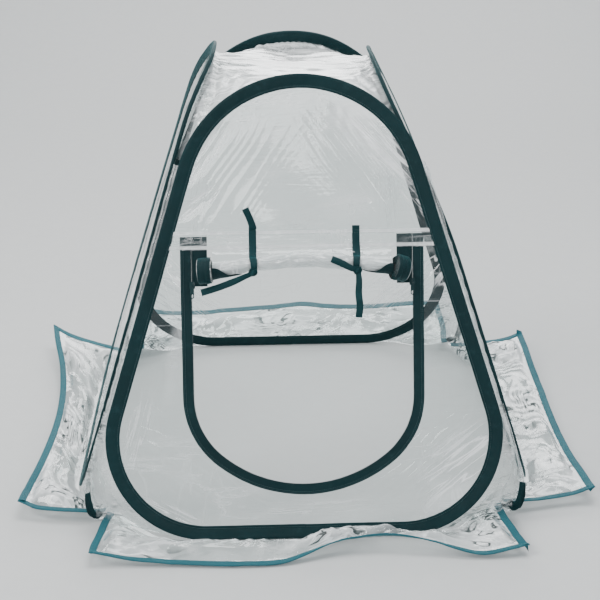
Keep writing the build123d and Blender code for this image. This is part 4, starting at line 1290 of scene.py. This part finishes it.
def corner_seam(corner):
    """Folded strip of film between two neighbouring hoops' legs, with a rolled bead."""
    before, after = CORNERS[corner]
    seed = 101 + list(CORNERS).index(corner)
    v = np.linspace(LEG_LOW - 2, LEG_HIGH + 2, 190)
    leg = LEG_FOOT - LEG_RUN * v
    near = place(before, leg - 1.5, v, MID - 1.0)
    far = place(after, -leg + 1.5, v, MID - 1.0)
    side, hand = {"front_right": ("front", 1), "front_left": ("front", -1),
                  "back_right": ("right", 1), "back_left": ("left", -1)}[corner]
    bead = place(side, hand * corner_line(v) - SHIFT[side], v, 0)
    away = level(bead.mean(0))
    sideways = np.array([-away[1], away[0], 0])
    if np.dot(far.mean(0) - near.mean(0), sideways) < 0:
        sideways = -sideways
    ends = np.minimum(smooth(v, v[0], v[0] + 16), 1 - smooth(v, v[-1] - 16, v[-1]))
    ring = []
    for degrees in np.linspace(-150, 150, 11):
        a = math.radians(degrees)
        r = (1.9 + 0.3 * noise(v / 30, 0 * v + degrees, seed)) * (0.2 + 0.8 * ends)
        ring.append(bead + (away * math.cos(a) + sideways * math.sin(a)) * (r / 1000)[:, None])
    rows = [near, near + (ring[0] - near) * 0.5] + ring + [far + (ring[-1] - far) * 0.5, far]
    p = np.stack(rows, 1)
    ripple = 0.7 * noise(v / 24, 0 * v, seed + 5) + 0.8 * np.sin(v / 6 + 3 * noise(v / 60, 0 * v, seed + 6))
    p[:, 1:-1] += away * (ripple / 1000)[:, None, None]
    piece = one_grid("corner_seam_film_" + corner, SEAM_FILM, p, across_uv(v, np.linspace(0, 40, len(rows))))
    return piece


# ---------------------------------------------------------------- ground flaps

# For each flap: how far out its free edge lies along it, and how high it rises.
FLAPS = {
    "front": dict(out=[70, 78, 84, 90, 86, 58, 48, 62, 80, 72], half=[-392, 396], rise=17, seed=5,
                  lift=[24, 10, 4, 3, 5, 26, 32, 24, 8, 20]),
    "right": dict(out=[112, 108, 104, 102, 102, 104, 106, 106, 108, 108], half=[-334, 400], rise=12,
                  seed=15, lift=[34, 26, 18, 16, 18, 18, 20, 24, 30, 36]),
    "back": dict(out=[130, 134, 132, 128, 132, 134, 130, 128, 132, 128], half=[-366, 366], rise=14,
                 seed=25, lift=[50, 46, 40, 44, 50, 46, 42, 36, 32, 46]),
    "left": dict(out=[132, 118, 98, 86, 80, 78, 80, 86, 94, 98], half=[-446, 342], rise=13, seed=35,
                 lift=[58, 44, 28, 18, 14, 14, 16, 18, 24, 32]),
}


def flap_place(side, t, s):
    """A place on a flap; t goes along it from 0 to 1, s out from its hinge from 0 to 1."""
    shape = FLAPS[side]
    knots = np.linspace(0, 1, len(shape["out"]))
    out, lift = [spline(knots, np.array(shape[key], float)[:, None], np.ravel(t)).reshape(np.shape(t))
                 for key in ("out", "lift")]
    low, high = shape["half"]
    seed = shape["seed"]
    edge = smooth(s, 0.0, 0.35)
    u = SKIRT_HALF * (2 * t - 1)
    drawn = corner_inset(u) * (1 - smooth(s, 0.0, 0.75))
    u = u * (1 - 0.0003 * drawn)
    u = u + (low * (1 - t) + high * t - u) * smooth(s, 0.0, 1.0)
    calm = (1 - smooth(s, 0.66, 0.88)) * smooth(np.minimum(t, 1 - t), 0.018, 0.05)
    u = u + 6 * noise(t * 7, s * 2, seed + 1) * edge
    height = 1.0 + lift * s**1.5 + 28 * smooth(np.abs(u), 270, 374) * (1 - s) ** 2
    spare = SKIRT_LENGTH - out
    folds = np.abs(noise(t * 8 + s * 1.2, s * 2.1, seed + 2)) * shape["rise"]
    folds = folds + 0.35 * shape["rise"] * np.abs(noise(t * 19, s * 4.2, seed + 3))
    bulge = 0.7 + 0.5 * noise(t * 6, 0 * s, seed + 4)
    folds = folds + spare * 0.26 * np.sin(s * math.pi) ** 2 * bulge
    folds = folds * smooth(s, 0.02, 0.3) * (0.25 + 0.75 * calm)
    sharp = 1 - np.abs(np.sin((t * 34 + s * 6 + 2.2 * noise(t * 12, s * 3, seed + 6)) * math.pi / 2))
    folds = folds + 3.0 * sharp**2 * edge * calm
    y = out * s - drawn + 5 * noise(t * 11, s * 3, seed + 7) * edge * calm
    z = np.maximum(height + folds, 1.0)
    p = np.stack([u, -(SKIRT_HINGE - 1.0) - y, z], -1)
    return turned(side, p) / 1000


def flap(side):
    """Film flap that lies on the ground along one side, and its hem."""
    t = np.linspace(0, 1, 240)[:, None]
    s = np.linspace(0, 0.985, 64)[None, :]
    t, s = np.broadcast_arrays(0.006 + 0.988 * t, s)
    p = flap_place(side, t, s)
    piece = one_grid(side + "_flap_film", SKIRT_FILM, p, panel_uv(t * 2 * SKIRT_HALF, s * SKIRT_LENGTH))
    hem = flap_hem(side)
    return piece, hem


def flap_hem(side):
    """Folded tape round the flap's three free edges, following its waves."""
    s_side = np.linspace(0.06, 1, 26)
    t_far = np.linspace(0, 1, 200)[1:-1]
    t = np.concatenate([np.zeros(26), t_far, np.ones(26)])
    s = np.concatenate([s_side, np.ones(198), s_side[::-1]])
    edge = flap_place(side, t, s)
    centre = flap_place(side, np.clip(t, 0.02, 0.98), np.clip(s - 0.1 * (t > 0.019) * (t < 0.981), 0.05, 1))
    ahead = np.gradient(edge, axis=0)
    inner = square_to(smooth_rows(unit(centre - edge), 3), ahead)
    up = unit(np.cross(ahead, inner))
    up *= np.sign(up[:, 2:]) + (up[:, 2:] == 0)
    cross = [(0, 0), (0.3, 1.15), (3, 1.25), (9, 1.25), (12.6, 1.45), (13.8, 0.8), (13.8, -0.8), (12.6, -1.3),
             (7, -1.2), (0.3, -1.0)]
    rows = [edge + inner * a / 1000 + up * b / 1000 for a, b in cross]
    p = np.stack(rows, 1)
    p[..., 2] = np.maximum(p[..., 2], 0.0004)
    uv = across_uv(run_along(edge) * 1000, np.linspace(0, 28, len(cross)))
    return one_tube(side + "_flap_hem", HEM_CLOTH, p, uv)


def smooth_rows(rows, times):
    """Rows averaged with their neighbours, some number of times."""
    for _ in range(times):
        rows[1:-1] = (rows[:-2] + 2 * rows[1:-1] + rows[2:]) / 4
    return rows


# ---------------------------------------------------------------- assembly


def assemble():
    """Make every piece, and say what it rides on and which CAD nodes it replaces."""
    for side in SIDES:
        body = side + "_panel"
        for piece, nodes in ((sleeve(side), ["_hoop_sleeve"]), (wire(side), ["_hoop_wire", "_hoop_ferrule"])):
            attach(piece, body)
            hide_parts(*[side + node for node in nodes])
        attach(sleeve_stitches(side), body)
    for side in ("right", "back", "left"):
        piece = whole_film(side)
        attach(piece, side + "_panel")
        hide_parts(side + "_panel_film")
    fronts = (
        (upper_film(), ["front_upper_film"]), (lower_film(), ["front_lower_film"]),
        (band(), ["front_band"]), (band_stitches(), []), (fixed_zip(), ["zip_tape_fixed"]),
        (teeth("zip_teeth_sewn", SEWN_TEETH, ZIP_TOP), ["zip_coil_fixed"]), (zip_stitches(), []),
    )
    for piece, nodes in fronts:
        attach(piece, "front_panel")
        if nodes:
            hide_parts(*nodes)
    for hand in HANDS:
        tape = closed_zip(hand)
        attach(tape, "front_panel")
        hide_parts("zip_tape_closed_" + hand)
        row = teeth("zip_teeth_shut_" + hand, SHUT_TEETH, ZIP_TOP, SLIDER_UP - 2, hand, 0.77)
        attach(row, "front_panel")
        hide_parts("zip_coil_closed_" + hand)
    roll = door_roll()
    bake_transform(roll)
    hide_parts("door_roll_film")
    for hand in HANDS:
        tape, between = zip_end(hand)
        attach(tape, "door_roll")
        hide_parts("rolled_zip_end_" + hand)
        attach(between, "door_roll")
        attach(rolled_tape(hand), "door_roll")
        straps, tails = ties(hand)
        for piece in (straps, tails):
            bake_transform(piece)
        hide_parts("tie_strap_front_" + hand, "tie_strap_back_" + hand, "tie_knot_" + hand)
    for side in SIDES:
        piece, hem = flap(side)
        for part, node in ((piece, "_skirt_film"), (hem, "_skirt_hem")):
            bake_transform(part)
            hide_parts(side + node)
    for corner in CORNERS:
        roof = roof_part(corner)
        film_piece, tape = corner_film(corner)
        seam = corner_seam(corner)
        for piece, span in ((roof, 14.0), (film_piece, 9.0), (tape, 9.0), (seam, 3.0)):
            cross_corner(piece, corner)
        if corner == "front_left":
            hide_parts("roof_film")
        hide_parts("lower_corner_film_" + corner)
        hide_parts("corner_seam_" + corner)


def cross_corner(piece, corner):
    """Give a corner's piece its place: at the back right it rides on the right panel with a mesh of its own,
    and elsewhere its place is fixed into its mesh."""
    if corner == "back_right":
        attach(piece, "right_panel")
        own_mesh(piece)
        return
    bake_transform(piece)


assemble()
for hand in HANDS:
    for kind in ("zip_slider_", "zip_pull_"):
        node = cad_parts[kind + hand]
        node.data.materials.clear()
        node.data.materials.append(ZIP_METAL)

# ---------------------------------------------------------------- stage


def stage():
    """Pale floor that curves up into a backdrop, and soft lights."""
    x = np.linspace(-9, 9, 40)
    bend, r = 3.0, 2.2
    a = np.radians(np.linspace(0, 90, 12)[1:])
    y = np.r_[-7, -3, 0, bend, bend + r * np.sin(a), bend + r]
    z = np.r_[0, 0, 0, 0, r - r * np.cos(a), 9]
    p = np.stack(np.broadcast_arrays(x[:, None], y[None], z[None]), -1)
    m = Paper("studio_paper")
    grain = m.noise(m.place(30))
    paper = m.finish(m.node("BsdfPrincipled", Roughness=0.75, Specular_IOR_Level=0.2,
                            Base_Color=m.mix(grain, (0.62, 0.63, 0.63, 1), (0.66, 0.67, 0.67, 1))))
    floor = one_grid("studio_floor", paper, p)

    world = bpy.data.worlds.new("studio")
    bpy.context.scene.world = world
    world.use_nodes = True
    colour, strength = world.node_tree.nodes["Background"].inputs[:2]
    colour.default_value, strength.default_value = (0.80, 0.86, 0.90, 1), 0.55

    def lamp(name, place_at, target, size, energy, colour=(1, 1, 1)):
        """A soft rectangular light that points at a target."""
        data = bpy.data.lights.new(name, "AREA")
        data.shape = "RECTANGLE"
        data.size, data.size_y = size
        data.energy = energy
        data.color = colour
        o = bpy.data.objects.new(name, data)
        bpy.context.scene.collection.objects.link(o)
        o.location = place_at
        o.rotation_mode = "QUATERNION"
        o.rotation_quaternion = (Vector(target) - Vector(place_at)).to_track_quat("-Z", "Y")

    lamp("key", (-2.6, -1.0, 3.0), (0, 0, 0.3), (1.8, 1.8), 85, (1.0, 0.985, 0.96))
    lamp("fill", (2.8, -2.2, 1.9), (0, 0, 0.3), (2.2, 1.6), 26, (0.95, 0.98, 1.0))
    lamp("top", (0.3, 0.6, 3.2), (0, 0, 0.4), (2.6, 1.6), 75)
    lamp("front", (-0.9, -4.4, 2.9), (0, 0, 0.4), (3.0, 1.4), 85)
    lamp("back", (0.3, 4.6, 2.3), (0, 0, 0.3), (5.0, 2.2), 130)


def camera():
    """The camera at the photograph's place."""
    data = bpy.data.cameras.new("camera")
    data.sensor_width = SENSOR
    data.lens = FOCAL / FRAME * SENSOR
    o = bpy.data.objects.new("camera", data)
    bpy.context.scene.collection.objects.link(o)
    yaw, pitch, roll = CAMERA_YAW, CAMERA_PITCH, CAMERA_ROLL
    right = np.array([math.cos(yaw), math.sin(yaw), 0])
    flat = np.array([-math.sin(yaw), math.cos(yaw), 0])
    ahead = flat * math.cos(pitch) - np.array([0, 0, math.sin(pitch)])
    up = flat * math.sin(pitch) + np.array([0, 0, math.cos(pitch)])
    x = right * math.cos(roll) + up * math.sin(roll)
    y = -right * math.sin(roll) + up * math.cos(roll)
    rows = np.stack([x, y, -ahead], 1)
    m = Matrix([[*rows[k], p] for k, p in enumerate(CAMERA_AT)] + [[0, 0, 0, 1]])
    o.matrix_world = m
    data.clip_start, data.clip_end = 0.05, 60
    bpy.context.scene.camera = o


stage()
camera()
